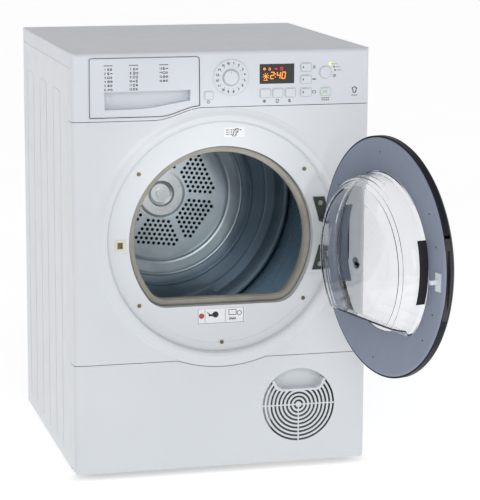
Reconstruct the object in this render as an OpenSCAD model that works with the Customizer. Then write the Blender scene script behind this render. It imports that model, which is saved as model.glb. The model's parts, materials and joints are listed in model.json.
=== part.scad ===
// Front-loading condenser clothes dryer, free-standing, 60 cm wide.
// Frame: X to the right seen from the front, Y to the back, Z up, origin on the floor under the middle.
// The door is drawn open; each body is drawn where it rests.

/* [Show] */
// which piece to show, "all" for the whole machine

/* [Cabinet] */
// overall width of the cabinet
cab_w = 600; // [560:1:640]
// overall depth of the cabinet, front skin to rear flange
cab_d = 600; // [560:1:640]
// height of the worktop above the floor
cab_h = 850; // [830:1:880]
// free height under the plinth
floor_gap = 12; // [8:1:20]
// sheet metal thickness
sheet = 1.2; // [0.8:0.1:1.6]
// radius of the upright front corners
corner_r = 12; // [6:1:20]
// how far the front skin wraps round the sides
wrap = 37; // [25:1:45]
// gap along the seams
seam = 1.2; // [0.8:0.1:2]
// height of the worktop skirt
skirt_h = 30; // [24:1:36]

/* [Control panel] */
// wall thickness of the moulded parts
wall = 2.5; // [2:0.1:3]
// height of the panel seam under the water container
seam_left_z = 717; // [710:1:725]
// height of the panel seam on the right
seam_right_z = 740; // [735:1:748]
// programme knob centre, sideways
knob_x = 15.3; // [5:0.1:30]
// programme knob centre, height
knob_z = 797; // [790:0.1:805]
// radius of the printed dial plate
dial_r = 36; // [30:0.5:38]
// radius of the programme knob
knob_r = 14.7; // [12:0.1:18]
// travel of the push buttons
button_travel = 1.2; // [0.8:0.1:2]
// how far the push buttons stand proud
button_proud = 1.8; // [1.5:0.1:2.5]

/* [Door opening] */
// height of the dish and door centre
dish_z = 480; // [475:1:485]
// radius of the dish floor
floor_r = 229.5; // [225:0.5:232]
// depth of the dish floor behind the front skin
floor_in = 4; // [3:0.5:6]
// how far the dish crest stands proud of the front skin
crest = 7; // [4:0.5:9]
// radius of the opening inside the gasket
gate_r = 174; // [165:0.5:178]
// height of the drum axis and of the opening centre
axis_z = 477; // [474:0.5:480]
// height of the flat lower edge inside the gasket
gate_flat = 356; // [350:0.5:365]
// corner radius of the opening inside the gasket
gate_corner = 36; // [30:1:45]
// width of the gasket face
gasket_w = 13; // [10:0.5:16]

/* [Door] */
// angle the door is drawn open
door_angle = 102.5; // [90:0.5:110]
// outer radius of the door rim
door_r = 230; // [224:0.5:232]
// thickness of the closed door
door_t = 34; // [30:0.5:38]
// hinge axis to the right of the middle
hinge_x = 228; // [224:0.5:232]
// hinge axis in front of the front skin
hinge_out = 38; // [34:0.5:42]
// radius of the hinge pin
pin_r = 4; // [3:0.1:5]
// how deep the clear bowl reaches behind the front skin
bowl_in = 50; // [40:1:80]
// radius of the window in the door
window_r = 172; // [165:0.5:178]

/* [Drum] */
// inner radius of the drum shell
drum_r = 285; // [275:0.5:286]
// radius of the drum's front lip
lip_r = 243; // [235:0.5:250]
// depth of the drum's rear wall behind the middle
wall_y = 270; // [262:0.5:271]
// diameter of the rear wall perforations
hole_d = 8; // [6:0.1:9]
// pitch of the perforations
hole_pitch = 12; // [11.6:0.1:14]
// radius of the drum shaft
shaft_r = 10; // [8:0.1:12]
// height of the lifters
lifter_h = 42; // [30:1:55]
// radius of the front support rollers
roller_r = 30; // [26:0.5:34]
// angle of the rollers away from the bottom
roller_angle = 38; // [32:0.5:42]

/* [Drive] */
// motor axis sideways
motor_x = -135; // [-145:1:-125]
// motor axis height
motor_z = 108; // [104:1:114]
// radius of the motor shaft
rotor_r = 7; // [6:0.1:8]
// radius of the belt pulley
pulley_r = 10; // [9:0.1:13]
// radius of the idler pulley
idler_r = 18; // [14:0.5:22]
// belt thickness
belt_t = 2; // [1.5:0.1:3]
// fan wheel radius
fan_r = 76; // [66:0.5:78]

/* [Plinth] */
// height of the plinth seam
plinth_z = 234; // [228:1:240]
// grille centre sideways
grille_x = 159.5; // [150:0.5:165]
// grille centre height
grille_z = 129.5; // [125:0.5:135]
// outer radius of the grille
grille_r = 75.4; // [70:0.2:78]
// number of ring slots
grille_n = 9; // [7:1:10]
// height of the plinth hinge axis
flap_z = 32; // [30:0.5:36]

/* [Hidden] */
front_y = -cab_d / 2;
back_y = cab_d / 2;
half_w = cab_w / 2;
wrap_y = front_y + wrap;
// small running clearance of shafts in bores
run = 0.05;
// free gap between two bodies
gap = 0.3;
floor_y = front_y + floor_in;
dip_r = 263;
gate_z = axis_z - 3;
bulk_y = front_y + 38;
drum_o = drum_r + sheet;
hinge_y = front_y - hinge_out;
top_under = cab_h - skirt_h;
rear_y = back_y - 15;
belt_y0 = -70;
belt_y1 = -50;
roller_d = drum_o + roller_r + gap;
flap_y = front_y + 22;
face_y = front_y - 1;
rim_y = face_y - 3;
outer_y = face_y - door_t;
pane_r = window_r + 26;

// smooth step from 0 to 1
function smooth(t) = t < 0 ? 0 : t > 1 ? 1 : t * t * (3 - 2 * t);
// height of the seam between control panel and front panel
function seam_at(x) = seam_left_z + (seam_right_z - seam_left_z) * smooth((x + 138) / 100);
// height of the water container's lower edge
function tray_at(x) = seam_left_z + 7.5 + 19.5 * smooth((x + 128) / 84);
// a point on a circle
function polar(r, a) = [r * cos(a), r * sin(a)];
// rounded rectangle about the origin
function rounded(w, h, r) = [
    for (q = [0:3])
    for (i = [0:6])
    let (sx = (q == 0 || q == 3) ? 1 : -1)
    let (sy = q < 2 ? 1 : -1)
    [sx * (w / 2 - r), sy * (h / 2 - r)] + polar(r, q * 90 + i * 15)
];
// round opening with a flat lower edge, grown by t
function gate(t, r0 = gate_r, flat = gate_flat, c0 = gate_corner) =
    let (r = r0 + t)
    let (c = c0 + t)
    let (fz = flat - t + c - gate_z)
    let (fx = sqrt((r - c) * (r - c) - fz * fz))
    let (a = atan2(fz, fx))
    concat(
        [for (i = [0:72]) polar(r, a + (180 - 2 * a) * i / 72) + [0, gate_z]],
        [for (i = [1:10]) polar(c, 180 - a + (90 + a) * i / 10) + [-fx, fz + gate_z]],
        [for (i = [0:9]) polar(c, 270 + (90 + a) * i / 10) + [fx, fz + gate_z]]
    );
// plan of the wrapped front skin, inset by t
function skin(t) =
    let (w = half_w - t)
    let (r = corner_r - t)
    let (y = front_y + t)
    concat(
        [[-w, wrap_y]],
        [for (i = [0:8]) [-w + r, y + r] + polar(r, 180 + i * 90 / 8)],
        [for (i = [0:8]) [w - r, y + r] + polar(r, 270 + i * 90 / 8)],
        [[w, wrap_y]]
    );
// the same outline run on past its rear edge, for hollowing
function open_skin(t) = concat([[t - half_w, wrap_y + 5]], skin(t), [[half_w - t, wrap_y + 5]]);
// outline of the water container front, grown by g
function drawer(g) = concat(
    [[-264.5 - g, 835 + g], [-264.5 - g, tray_at(-264) - g]],
    [for (x = [-128:7:-51]) [x, tray_at(x) - g]],
    [[-47.5 + g, tray_at(-47) - g], [-48.5 + g, 833 + g], [-49.7 + g, 837 + g], [-54 + g, 838.7 + g]],
    [[-259.5 - g, 838.7 + g], [-263.2 - g, 837.6 + g]]
);

// extrude a shape drawn in X and Z from y0 to y1
module along_y(y0, y1) {
    translate([0, y1, 0])
        rotate([90, 0, 0])
            linear_extrude(y1 - y0)
                children();
}
// extrude a shape drawn in Y and Z from x0 to x1
module along_x(x0, x1) {
    translate([x0, 0, 0])
        rotate([90, 0, 90])
            linear_extrude(x1 - x0)
                children();
}
// turn a profile of radius and Y about an axis along Y
module turned(x, z) {
    translate([x, 0, z])
        rotate([-90, 0, 0])
            rotate_extrude()
                children();
}
// rod along Y
module rod(x, z, r, y0, y1) {
    translate([x, y0, z])
        rotate([-90, 0, 0])
            cylinder(r = r, h = y1 - y0);
}
// box between two corners
module box(a, b) {
    translate(a)
        cube(b - a);
}
// swing closed door parts to the drawn angle
module swung() {
    translate([hinge_x, hinge_y, 0])
        rotate([0, 0, door_angle])
            translate([-hinge_x, -hinge_y, 0])
                children();
}

// ---------- cabinet ----------

module base_tray() {
    color("dimgray") {
        difference() {
            union() {
                box([22 - half_w, front_y + 46, 14], [half_w - 22, rear_y - 1, 18]);
                box([22 - half_w, front_y + 46, 14], [25 - half_w, rear_y - 1, 34]);
                box([half_w - 25, front_y + 46, 14], [half_w - 22, rear_y - 1, 34]);
                box([22 - half_w, rear_y - 4, 14], [half_w - 22, rear_y - 1, 34]);
                box([62, front_y + 46, 14], [65, 80, 38]);
                box([255, front_y + 46, 14], [258, 80, 38]);
                for (x = [60 - half_w, half_w - 60])
                    for (y = [front_y + 65, back_y - 60])
                        translate([x, y, 14])
                            cylinder(r = 14, h = 25);
                for (s = [-1, 1]) {
                    box([s * (half_w - 20) - 4, flap_y - 6, flap_z - 6],
                        [s * (half_w - 20) + 4, front_y + 50, flap_z + 6]);
                    box([s * (half_w - 23) - 7, front_y + 46, 14],
                        [s * (half_w - 23) + 7, front_y + 50, flap_z + 6]);
                    translate([s * (half_w - 24) - 8, flap_y, flap_z])
                        rotate([0, 90, 0])
                            cylinder(r = 3, h = 16);
                }
            }
            for (x = [60 - half_w, half_w - 60])
                for (y = [front_y + 65, back_y - 60])
                    translate([x, y, 10])
                        cylinder(r = 5 + run, h = 32);
        }
    }
}

// one side panel, s is -1 for left and 1 for right
module side_panel(s) {
    difference() {
        union() {
            box([min(s * half_w, s * (half_w - sheet)), wrap_y + 1, floor_gap + 2],
                [max(s * half_w, s * (half_w - sheet)), back_y, top_under - 0.5]);
            box([min(s * half_w, s * (half_w - 16)), back_y - sheet, floor_gap + 2],
                [max(s * half_w, s * (half_w - 16)), back_y, top_under - 0.5]);
            box([min(s * half_w, s * (half_w - 18)), wrap_y + 1, floor_gap + 2],
                [max(s * half_w, s * (half_w - 18)), back_y, floor_gap + 2 + sheet]);
        }
        for (y = [205, 38, -129])
            along_x(min(s * half_w - 0.6, s * half_w), max(s * half_w + 0.6, s * half_w)) {
                difference() {
                    translate([y, 400])
                        polygon(rounded(88, 734, 14));
                    translate([y, 396])
                        polygon(rounded(76, 734, 9));
                }
            }
    }
}
module left_side_panel() {
    color("white")
        side_panel(-1);
}
module right_side_panel() {
    color("white")
        side_panel(1);
}

module rear_panel_part() {
    color("lightgray")
        along_y(rear_y, rear_y + sheet) {
            difference() {
                translate([-half_w + sheet + 0.3, 16])
                    square([cab_w - 2 * sheet - 0.6, top_under - 17]);
                difference() {
                    translate([0, axis_z])
                        circle(r = 135);
                    translate([-25, axis_z - 150])
                        square([50, 300]);
                    translate([-150, axis_z - 25])
                        square([300, 50]);
                }
                translate([0, axis_z])
                    circle(r = 12);
                for (i = [0:5])
                    translate([-210, 60 + i * 15])
                        square([150, 6]);
                translate([-45, 128])
                    square([90, 40]);
            }
        }
}

module rear_duct_cover() {
    color("silver") {
        difference() {
            union() {
                rod(0, axis_z, 172, rear_y + sheet, rear_y + 2 * sheet);
                rod(0, axis_z, 160, rear_y + sheet, back_y - 0.5);
                box([-62, rear_y + sheet, 112], [62, back_y - 0.5, axis_z - 120]);
            }
            rod(0, axis_z, 158.8, rear_y, back_y - 0.5 - sheet);
            box([-60.8, rear_y, 113.2], [60.8, back_y - 0.5 - sheet, axis_z - 119]);
        }
    }
}

module worktop() {
    color("white")
        difference() {
            intersection() {
                box([-half_w, front_y + 15, top_under], [half_w, back_y, cab_h]);
                along_x(-half_w, half_w)
                    translate([15 / 2, cab_h - 50])
                        polygon(rounded(cab_d + 15, 100, 3));
                along_y(front_y, back_y)
                    translate([0, cab_h - 50])
                        polygon(rounded(cab_w, 100, 3));
            }
            box([-half_w + 3, front_y, top_under - 1], [half_w - 3, back_y - 3, cab_h - 4]);
        }
}

// side profile of the control panel, inset by t
module fascia_side(t) {
    polygon(concat(
        [[wrap_y + (t > 0 ? 1 : 0), seam_left_z - 60], [front_y + t, seam_left_z - 60]],
        [for (i = [0:6]) [front_y + 9, cab_h - 9] + polar(9 - t, 180 - i * 15)],
        [
            [front_y + 14.5 + (t > 0 ? 1 : 0), cab_h - t],
            [front_y + 14.5 + (t > 0 ? 1 : 0), top_under - 0.5 - t]
        ],
        [[wrap_y + (t > 0 ? 1 : 0), top_under - 0.5 - t]]
    ));
}
// one push button opening or cap in the X Z plane
module key(x, z, w, h, r, t) {
    translate([x, z])
        polygon(rounded(w + 2 * t, h + 2 * t, r + t));
}
module control_panel() {
    color("white")
        difference() {
            intersection() {
                translate([0, 0, seam_left_z - 50])
                    linear_extrude(cab_h)
                        polygon(skin(0));
                along_x(-half_w - 1, half_w + 1)
                    fascia_side(0);
                along_y(front_y - 5, wrap_y + 5)
                    polygon(concat(
                        [[half_w + 2, seam_right_z], [half_w + 2, cab_h + 2], [-half_w - 2, cab_h + 2]],
                        [[-half_w - 2, seam_left_z]],
                        [for (x = [-138:5:-38]) [x, seam_at(x)]]
                    ));
            }
            intersection() {
                translate([0, 0, seam_left_z - 60])
                    linear_extrude(cab_h)
                        polygon(open_skin(wall));
                along_x(-half_w - 1, half_w + 1)
                    fascia_side(wall);
            }
            along_y(front_y - 1, wrap_y + 2)
                polygon(drawer(0.8));
            along_y(front_y - 1, front_y + 8)
                union() {
                    key(power_x, power_z, 15, 13, 4, gap);
                    for (k = [0:2]) {
                        key(row_x[k], row_z, 18.5, 15, 2.5, gap);
                        key(col_x, col_z[k], 20, 14, 4, gap);
                    }
                    key(eco_x, eco_z, 19, 13, 6.4, gap);
                    translate([start_x, start_z])
                        circle(r = 10.9 + gap);
                    translate([knob_x, knob_z])
                        circle(r = 4 + run);
                    translate([disp_x, disp_z])
                        square([70.4, 38.9], center = true);
                    for (p = led_at)
                        translate(p)
                            circle(r = 1.7);
                }
        }
}
power_x = -29;
power_z = 763;
row_x = [84.9, 110.5, 136.3];
row_z = 764.5;
col_x = 168;
col_z = [814, 790, 764.5];
eco_x = 208.5;
eco_z = 765;
start_x = 207.8;
start_z = 803;
disp_x = 109;
disp_z = 802.2;
led_at = [[221, 819.4], [226, 813.5], [228, 807]];

module front_panel() {
    color("white") {
        front_skin();
        // raised ring round the dish
        turned(0, dish_z)
            polygon([
                [floor_r + 29.5, front_y], [floor_r + 22, front_y - crest * 0.35],
                [floor_r + 14, front_y - crest * 0.86], [floor_r + 9, front_y - crest],
                [floor_r + 4, front_y - crest * 0.86], [floor_r + 1.5, front_y - crest * 0.4],
                [floor_r, front_y + floor_in], [floor_r, front_y + floor_in + sheet],
                [floor_r + 1.2, front_y + floor_in + sheet],
                [floor_r + 2.7, front_y - crest * 0.3 + sheet], [floor_r + 5, front_y - crest * 0.7 + sheet],
                [floor_r + 9, front_y - crest + sheet], [floor_r + 13.4, front_y - crest * 0.8 + sheet],
                [floor_r + 22.5, front_y - crest * 0.3 + sheet], [floor_r + 29.5, front_y + sheet]
            ]);
        // dish floor with its pressed fields
        difference() {
            rod(0, dish_z, floor_r + 0.5, floor_y, floor_y + 2);
            along_y(floor_y - 1, floor_y + 3)
                polygon(gate(gasket_w + 0.8));
            along_y(floor_y - 1, floor_y + 0.7)
                intersection() {
                    translate([0, dish_z])
                        circle(r = 214);
                    translate([-160, dish_z - 220])
                        square([320, 76]);
                }
            along_y(floor_y - 1, floor_y + 0.7)
                intersection() {
                    translate([0, dish_z])
                        difference() {
                            circle(r = 222);
                            circle(r = 191);
                        }
                    union() {
                        translate([-230, dish_z - 26])
                            square([60, 34]);
                        translate([160, dish_z - 82])
                            square([70, 164]);
                    }
                }
            along_y(floor_y - 1, floor_y + 3)
                translate([strike_x - 8.5, strike_z - 9.5])
                    square([17, 19]);
        }
        // wall down to the gasket
        along_y(floor_y, bulk_y - 0.4)
            difference() {
                polygon(gate(gasket_w + 2));
                polygon(gate(gasket_w + 0.8));
            }
    }
}
strike_x = -205;
strike_z = 470.5;

// wrapped skin between the two seams, with the dish hole
module front_skin() {
    difference() {
        intersection() {
            difference() {
                translate([0, 0, 200])
                    linear_extrude(560)
                        polygon(skin(0));
                translate([0, 0, 199])
                    linear_extrude(562)
                        polygon(concat([[-half_w + sheet, wrap_y + 5]], skin(sheet),
                            [[half_w - sheet, wrap_y + 5]]));
            }
            along_y(front_y - 5, wrap_y + 5)
                union() {
                    polygon(concat(
                        [[half_w + 2, seam_right_z - seam], [half_w + 2, plinth_z], [-half_w - 2, plinth_z]],
                        [[-half_w - 2, seam_left_z - seam]],
                        [for (x = [-138:5:-38]) [x, seam_at(x) - seam]]
                    ));
                    intersection() {
                        translate([0, dish_z])
                            circle(r = dip_r - seam);
                        translate([-half_w, 0])
                            square([cab_w, dish_z]);
                    }
                }
        }
        rod(0, dish_z, floor_r + 29.5, front_y - 1, front_y + 5);
    }
}

// inner bulkhead that carries the drum's front seal and the rollers
module front_bulkhead_part() {
    color("gainsboro") {
        difference() {
            union() {
                along_y(bulk_y, bulk_y + sheet)
                    difference() {
                        translate([-half_w + 3, 62])
                            square([cab_w - 6, seam_left_z - 66]);
                        polygon(gate(1));
                        translate([60, 60])
                            square([200, 132]);
                    }
                difference() {
                    rod(0, axis_z, lip_r - 5.8, bulk_y + sheet, bulk_y + 28);
                    rod(0, axis_z, lip_r - 7, bulk_y, bulk_y + 29);
                }
            }
            box([-113, bulk_y + sheet + 0.1, 200], [113, bulk_y + 14, 270]);
        }
    }
}
module roller_axles_part() {
    color("silver")
        for (s = [-1, 1]) {
            p = polar(roller_d, -90 + s * roller_angle);
            rod(p[0], axis_z + p[1], 5, bulk_y + sheet, front_y + 126);
            rod(p[0], axis_z + p[1], 9, bulk_y + sheet, front_y + 92);
        }
}

// printed dial plate behind the knob
module dial_plate() {
    color("whitesmoke")
        difference() {
            turned(knob_x, knob_z)
                polygon([
                    [knob_r + 0.6, front_y], [dial_r, front_y], [dial_r, front_y - 1.2],
                    [dial_r - 1.6, front_y - 3], [dial_r - 4.5, front_y - 2], [knob_r + 0.6, front_y - 2]
                ]);
        }
}
module programme_knob() {
    color("white") {
        turned(knob_x, knob_z)
            polygon([
                [0, front_y - 7], [knob_r - 2.5, front_y - 7], [knob_r - 0.7, front_y - 6.2],
                [knob_r, front_y - 4.5], [knob_r, front_y - 0.4], [0, front_y - 0.4]
            ]);
        rod(knob_x, knob_z, 4, front_y - 1, front_y + 14);
    }
}

// push button with its stem and retaining flange
module plunger(x, z, w, h, r) {
    along_y(front_y - button_proud, front_y + wall + 0.2)
        key(x, z, w, h, r, 0);
    along_y(front_y + wall + gap, front_y + wall + 1.6)
        key(x, z, w, h, r, 1.4);
    rod(x, z, 2.5, front_y + wall, front_y + 12);
}
module power_button() {
    color("white")
        plunger(power_x, power_z, 15, 13, 4);
}
module row_button_1() {
    color("white")
        plunger(row_x[0], row_z, 18.5, 15, 2.5);
}
module row_button_2() {
    color("white")
        plunger(row_x[1], row_z, 18.5, 15, 2.5);
}
module row_button_3() {
    color("white")
        plunger(row_x[2], row_z, 18.5, 15, 2.5);
}
module side_button_1() {
    color("white")
        plunger(col_x, col_z[0], 20, 14, 4);
}
module side_button_2() {
    color("white")
        plunger(col_x, col_z[1], 20, 14, 4);
}
module side_button_3() {
    color("white")
        plunger(col_x, col_z[2], 20, 14, 4);
}
module eco_button() {
    color("white")
        plunger(eco_x, eco_z, 19, 13, 6.4);
}
module start_button() {
    color("white") {
        rod(start_x, start_z, 10.9, front_y - button_proud, front_y + wall + 0.2);
        rod(start_x, start_z, 12.3, front_y + wall + gap, front_y + wall + 1.6);
        rod(start_x, start_z, 2.5, front_y + wall, front_y + 12);
    }
}

module display_window() {
    color("black")
        along_y(front_y - 0.4, front_y + wall)
            translate([disp_x, disp_z])
                square([70, 38.5], center = true);
}
module display_board_part() {
    color("darkgreen") {
        difference() {
            box([-12, front_y + 16, 752], [234, front_y + 17.6, cab_h - 33.6]);
            rod(knob_x, knob_z, 7, front_y + 10, front_y + 20);
        }
        box([disp_x - 33, front_y + 6, disp_z - 17], [disp_x + 33, front_y + 16, disp_z + 14]);
    }
}
module status_leds_part() {
    color("gold")
        for (p = led_at)
            rod(p[0], p[1], 1.6, front_y - 0.4, front_y + 15.3);
}
// display board with its lamps
module display_board() {
    display_board_part();
    status_leds_part();
}

// ---------- water container ----------

module container_front() {
    color("white")
        difference() {
            union() {
                along_y(front_y - 0.3, front_y + 3)
                    polygon(drawer(0));
                box([-240, front_y + 2.5, 735], [-62, front_y + 22, 777]);
            }
            along_y(front_y - 2, front_y + 19.5)
                polygon([
                    [-236, 773.5], [-65, 774.5], [-66, 754], [-102, 748], [-138, 742], [-165, 739.5], [-235, 738.5]
                ]);
        }
}
module container_tank() {
    color("lightcyan")
        difference() {
            box([-262, front_y + 22.2, 726], [-52, 178, cab_h - 28]);
            rod(0, axis_z, 296, front_y, 200);
            difference() {
                box([-260, front_y + 24.2, 728], [-54, 176, cab_h - 30]);
                rod(0, axis_z, 298, front_y, 200);
            }
            translate([-250, 150, cab_h - 40])
                cylinder(r = 8, h = 30);
        }
}
module container_guide() {
    color("gray")
        difference() {
            box([-266, front_y + 38, 722], [-48, 186, cab_h - 26]);
            rod(0, axis_z, 291.5, front_y, 200);
            difference() {
                box([-264, front_y, 724], [-50, 184, cab_h]);
                rod(0, axis_z, 294, front_y, 200);
            }
            rod(-250, 785, 8, 180, 190);
        }
}

// ---------- door opening ----------

module door_gasket() {
    color("darkkhaki") {
        along_y(front_y + 24, bulk_y - 0.2)
            difference() {
                polygon(gate(gasket_w));
                polygon(gate(0));
            }
        along_y(front_y + 20, front_y + 24)
            difference() {
                polygon(gate(gasket_w - 3));
                polygon(gate(2));
            }
    }
}
module front_felt_seal_part() {
    color("tan")
        difference() {
            rod(0, axis_z, lip_r - gap, bulk_y + 15, bulk_y + 27);
            rod(0, axis_z, lip_r - 5.7, bulk_y + 14, bulk_y + 28);
        }
}
module rear_felt_seal_part() {
    color("tan")
        difference() {
            rod(0, axis_z, 145, wall_y + sheet + gap, rear_y - 0.1);
            rod(0, axis_z, 138, wall_y, rear_y + 1);
        }
}
// felt rings at both ends of the drum
module felt_seals() {
    front_felt_seal_part();
    rear_felt_seal_part();
}
module strike_plate() {
    color("ivory")
        difference() {
            union() {
                box([strike_x - 10, floor_y - 0.5, strike_z - 11.5],
                    [strike_x + 10, floor_y + 0.7, strike_z + 11.5]);
                box([strike_x - 8, floor_y, strike_z - 9], [strike_x + 8, front_y + 30, strike_z + 9]);
            }
            box([strike_x - 6, front_y - 1, strike_z - 6.5], [strike_x + 5, front_y + 27, strike_z + 6.5]);
        }
}
module front_screws_part() {
    color("dimgray") {
        for (a = [38, 142, 218, 322, 270])
            rod(213 * cos(a), dish_z + 213 * sin(a), 4, floor_y - 1.2, floor_y);
    }
}

// fixed half of the hinge: two plates with lugs
module hinge_brackets_part() {
    color("darkslategray")
        difference() {
            for (s = [-1, 1]) {
                along_y(floor_y - 1.8, floor_y + 0.7)
                    polygon([
                        [200, dish_z + s * 24], [212, dish_z + s * 24], [217, dish_z + s * 48],
                        [210, dish_z + s * 74], [186, dish_z + s * 74], [196, dish_z + s * 40]
                    ]);
                translate([0, 0, min(dish_z + s * 24, dish_z + s * 32)])
                    linear_extrude(8) {
                        polygon([
                            [200, floor_y], [212, floor_y], [hinge_x + 6, hinge_y + 3], [hinge_x - 6.5, hinge_y]
                        ]);
                        translate([hinge_x, hinge_y])
                            circle(r = pin_r + 3);
                    }
            }
            translate([hinge_x, hinge_y, dish_z - 50])
                cylinder(r = pin_r, h = 100);
        }
}
module hinge_pin_part() {
    color("silver")
        translate([hinge_x, hinge_y, dish_z - 36])
            cylinder(r = pin_r, h = 72);
}
// fixed half of the hinge with its pin
module hinge_brackets() {
    hinge_brackets_part();
    hinge_pin_part();
}
module hinge_screws_part() {
    color("silver")
        for (s = [-1, 1])
            rod(201, dish_z + s * 62, 5, floor_y - 3.6, floor_y - 1.8);
}
// screws of the dish and of the hinge plates
module front_fasteners() {
    front_screws_part();
    hinge_screws_part();
}

// ---------- door, drawn closed and swung open ----------

// region above the bowl's flat lower side, raised by t
module bowl_keep(t) {
    along_x(-200, 200)
        polygon([
            [face_y - 20, gate_flat - 11 + t], [face_y, gate_flat - 11 + t], [front_y + 14, gate_flat + 5 + t],
            [front_y + bowl_in + 10, gate_flat + 16 + t], [front_y + bowl_in + 10, 700], [face_y - 20, 700]
        ]);
}
// pocket in the door for the hinge lugs
module hinge_pocket() {
    box([pane_r + 3.5, hinge_y - 9.5, dish_z - 39], [250, front_y + 10, dish_z + 39]);
}
// cover over the hinge on the outside of the door
module hinge_cover() {
    intersection() {
        rod(0, dish_z, door_r, hinge_y - 12, rim_y - 0.2);
        box([pane_r + 1, hinge_y - 12, dish_z - 42], [door_r + 1, rim_y - 0.2, dish_z + 42]);
    }
}
module door_inner_frame() {
    color("lightslategray")
        swung()
            difference() {
                turned(0, dish_z)
                    polygon([
                        [140, face_y], [door_r - 9, face_y], [door_r - 5.5, face_y - 0.8],
                        [door_r - 3.5, face_y - 2.4], [door_r - 3.5, rim_y], [140, rim_y]
                    ]);
                along_y(face_y - 20, face_y + 5)
                    polygon(gate(-1.8, window_r, gate_flat - 9, 40));
                hinge_pocket();
                for (a = door_screw_at)
                    rod(-door_screw_r * cos(a), dish_z + door_screw_r * sin(a), 2.2, face_y - 10, face_y + 5);
            }
}
door_screw_r = 200;
door_screw_at = [93, 145, 33, 15, -22, -40, -97, -145];
module door_outer_frame() {
    color([0.16, 0.17, 0.2])
        swung()
            difference() {
                union() {
                    turned(0, dish_z)
                        polygon([
                            [pane_r, outer_y + 1], [pane_r + 1, outer_y], [door_r - 20, outer_y + 4],
                            [door_r - 8, outer_y + 12], [door_r - 2, outer_y + 17], [door_r, outer_y + 20],
                            [door_r, rim_y - 0.2], [door_r - 3, rim_y - 0.2], [door_r - 3, outer_y + 20.5],
                            [door_r - 4.5, outer_y + 19], [door_r - 10, outer_y + 14.5],
                            [door_r - 21, outer_y + 7], [pane_r + 3, outer_y + 4], [pane_r + 3, face_y - 8],
                            [pane_r, face_y - 8]
                        ]);
                    hinge_cover();
                }
                hinge_pocket();
                box([window_r, face_y - 8, dish_z - 26], [door_r - 18, front_y, dish_z + 26]);
                box([-door_r - 2, outer_y + 20, dish_z - 90], [-door_r + 16, rim_y + 2, dish_z + 78]);
            }
}
module door_grip() {
    color([0.2, 0.21, 0.24])
        swung() {
            along_y(outer_y + 20.3, outer_y + 24)
                grip_shape(0);
            along_y(outer_y + 24, rim_y - 0.3)
                difference() {
                    grip_shape(0);
                    translate([-door_r - 5, dish_z - 60])
                        square([14, 110]);
                }
        }
}
// outline of the moulded finger grip in the door rim
module grip_shape(t) {
    translate([0, dish_z])
        polygon(concat(
            [for (a = [-18:1:21]) polar(door_r - 0.5 - t, 180 + a)],
            [[-door_r + 15.7, -79], [-door_r + 15.7, 68]]
        ));
}
module door_bowl() {
    color([0.85, 0.88, 0.92, 0.4])
        swung() {
            difference() {
                intersection() {
                    turned(0, gate_z)
                        polygon([
                            [0, face_y - 4], [window_r - 2.5, face_y - 4], [window_r - 2.5, face_y],
                            [gate_r - 8, front_y + 7], [gate_r - 10, front_y + bowl_in - 24],
                            [gate_r - 13, front_y + bowl_in - 13], [gate_r - 19, front_y + bowl_in - 6],
                            [gate_r - 29, front_y + bowl_in - 2], [gate_r - 60, front_y + bowl_in],
                            [0, front_y + bowl_in + 3]
                        ]);
                    bowl_keep(0);
                    along_y(face_y - 10, front_y + bowl_in + 10)
                        polygon(gate(-2.2, window_r, gate_flat - 9, 40));
                }
                intersection() {
                    turned(0, gate_z)
                        polygon([
                            [0, face_y - 6], [window_r - 6.5, face_y - 6], [window_r - 6.5, face_y],
                            [gate_r - 12, front_y + 7], [gate_r - 14, front_y + bowl_in - 25],
                            [gate_r - 17, front_y + bowl_in - 15], [gate_r - 22, front_y + bowl_in - 9.5],
                            [gate_r - 31, front_y + bowl_in - 6], [gate_r - 60, front_y + bowl_in - 4],
                            [0, front_y + bowl_in - 1]
                        ]);
                    bowl_keep(4);
                    along_y(face_y - 10, front_y + bowl_in + 10)
                        polygon(gate(-6.2, window_r, gate_flat - 9, 40));
                }
            }
            along_y(face_y - 6.8, face_y - 3.2)
                difference() {
                    polygon(gate(7, window_r, gate_flat - 9, 40));
                    polygon(gate(-4, window_r, gate_flat - 9, 40));
                }
        }
}
module door_outer_pane() {
    color([0.8, 0.85, 0.9, 0.35])
        swung()
            rod(0, dish_z, pane_r - 0.2, outer_y + 1, outer_y + 5);
}
module door_hook() {
    color("white")
        swung()
            union() {
                box([strike_x - 9, face_y, strike_z - 18], [strike_x + 9, face_y + 1.8, strike_z + 16]);
                box([strike_x - 3, face_y, strike_z - 4], [strike_x + 3, face_y + 18, strike_z + 4]);
                box([strike_x - 4.5, face_y + 14, strike_z - 4], [strike_x + 3, face_y + 18, strike_z + 4]);
            }
}
module door_screws() {
    color("black")
        swung()
            for (a = door_screw_at)
                rod(-door_screw_r * cos(a), dish_z + door_screw_r * sin(a), 2.1, face_y - 7.5, face_y - 1.5);
}
module hinge_leaf() {
    color("darkslategray")
        swung()
            difference() {
                union() {
                    box([pane_r + 5, hinge_y + 3, dish_z - 22], [hinge_x, hinge_y + 7, dish_z + 22]);
                    box([pane_r + 5, hinge_y + 3, dish_z - 22], [pane_r + 9, face_y - 3.4, dish_z + 22]);
                    box([window_r + 9, face_y - 7.2, dish_z - 22], [pane_r + 9, face_y - 3.4, dish_z + 22]);
                    translate([hinge_x, hinge_y, dish_z - 22])
                        cylinder(r = pin_r + 3, h = 44);
                }
                translate([hinge_x, hinge_y, dish_z - 30])
                    cylinder(r = pin_r + run, h = 60);
            }
}

// ---------- drum ----------

module drum_shell() {
    color("lightsteelblue")
        turned(0, axis_z)
            polygon([
                [drum_r, 231], [drum_r, front_y + 86.4], [lip_r, front_y + 72.4], [lip_r, front_y + 54],
                [lip_r + sheet, front_y + 54], [lip_r + sheet, front_y + 71.6], [drum_o, front_y + 85.8],
                [drum_o, 231]
            ]);
}
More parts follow.
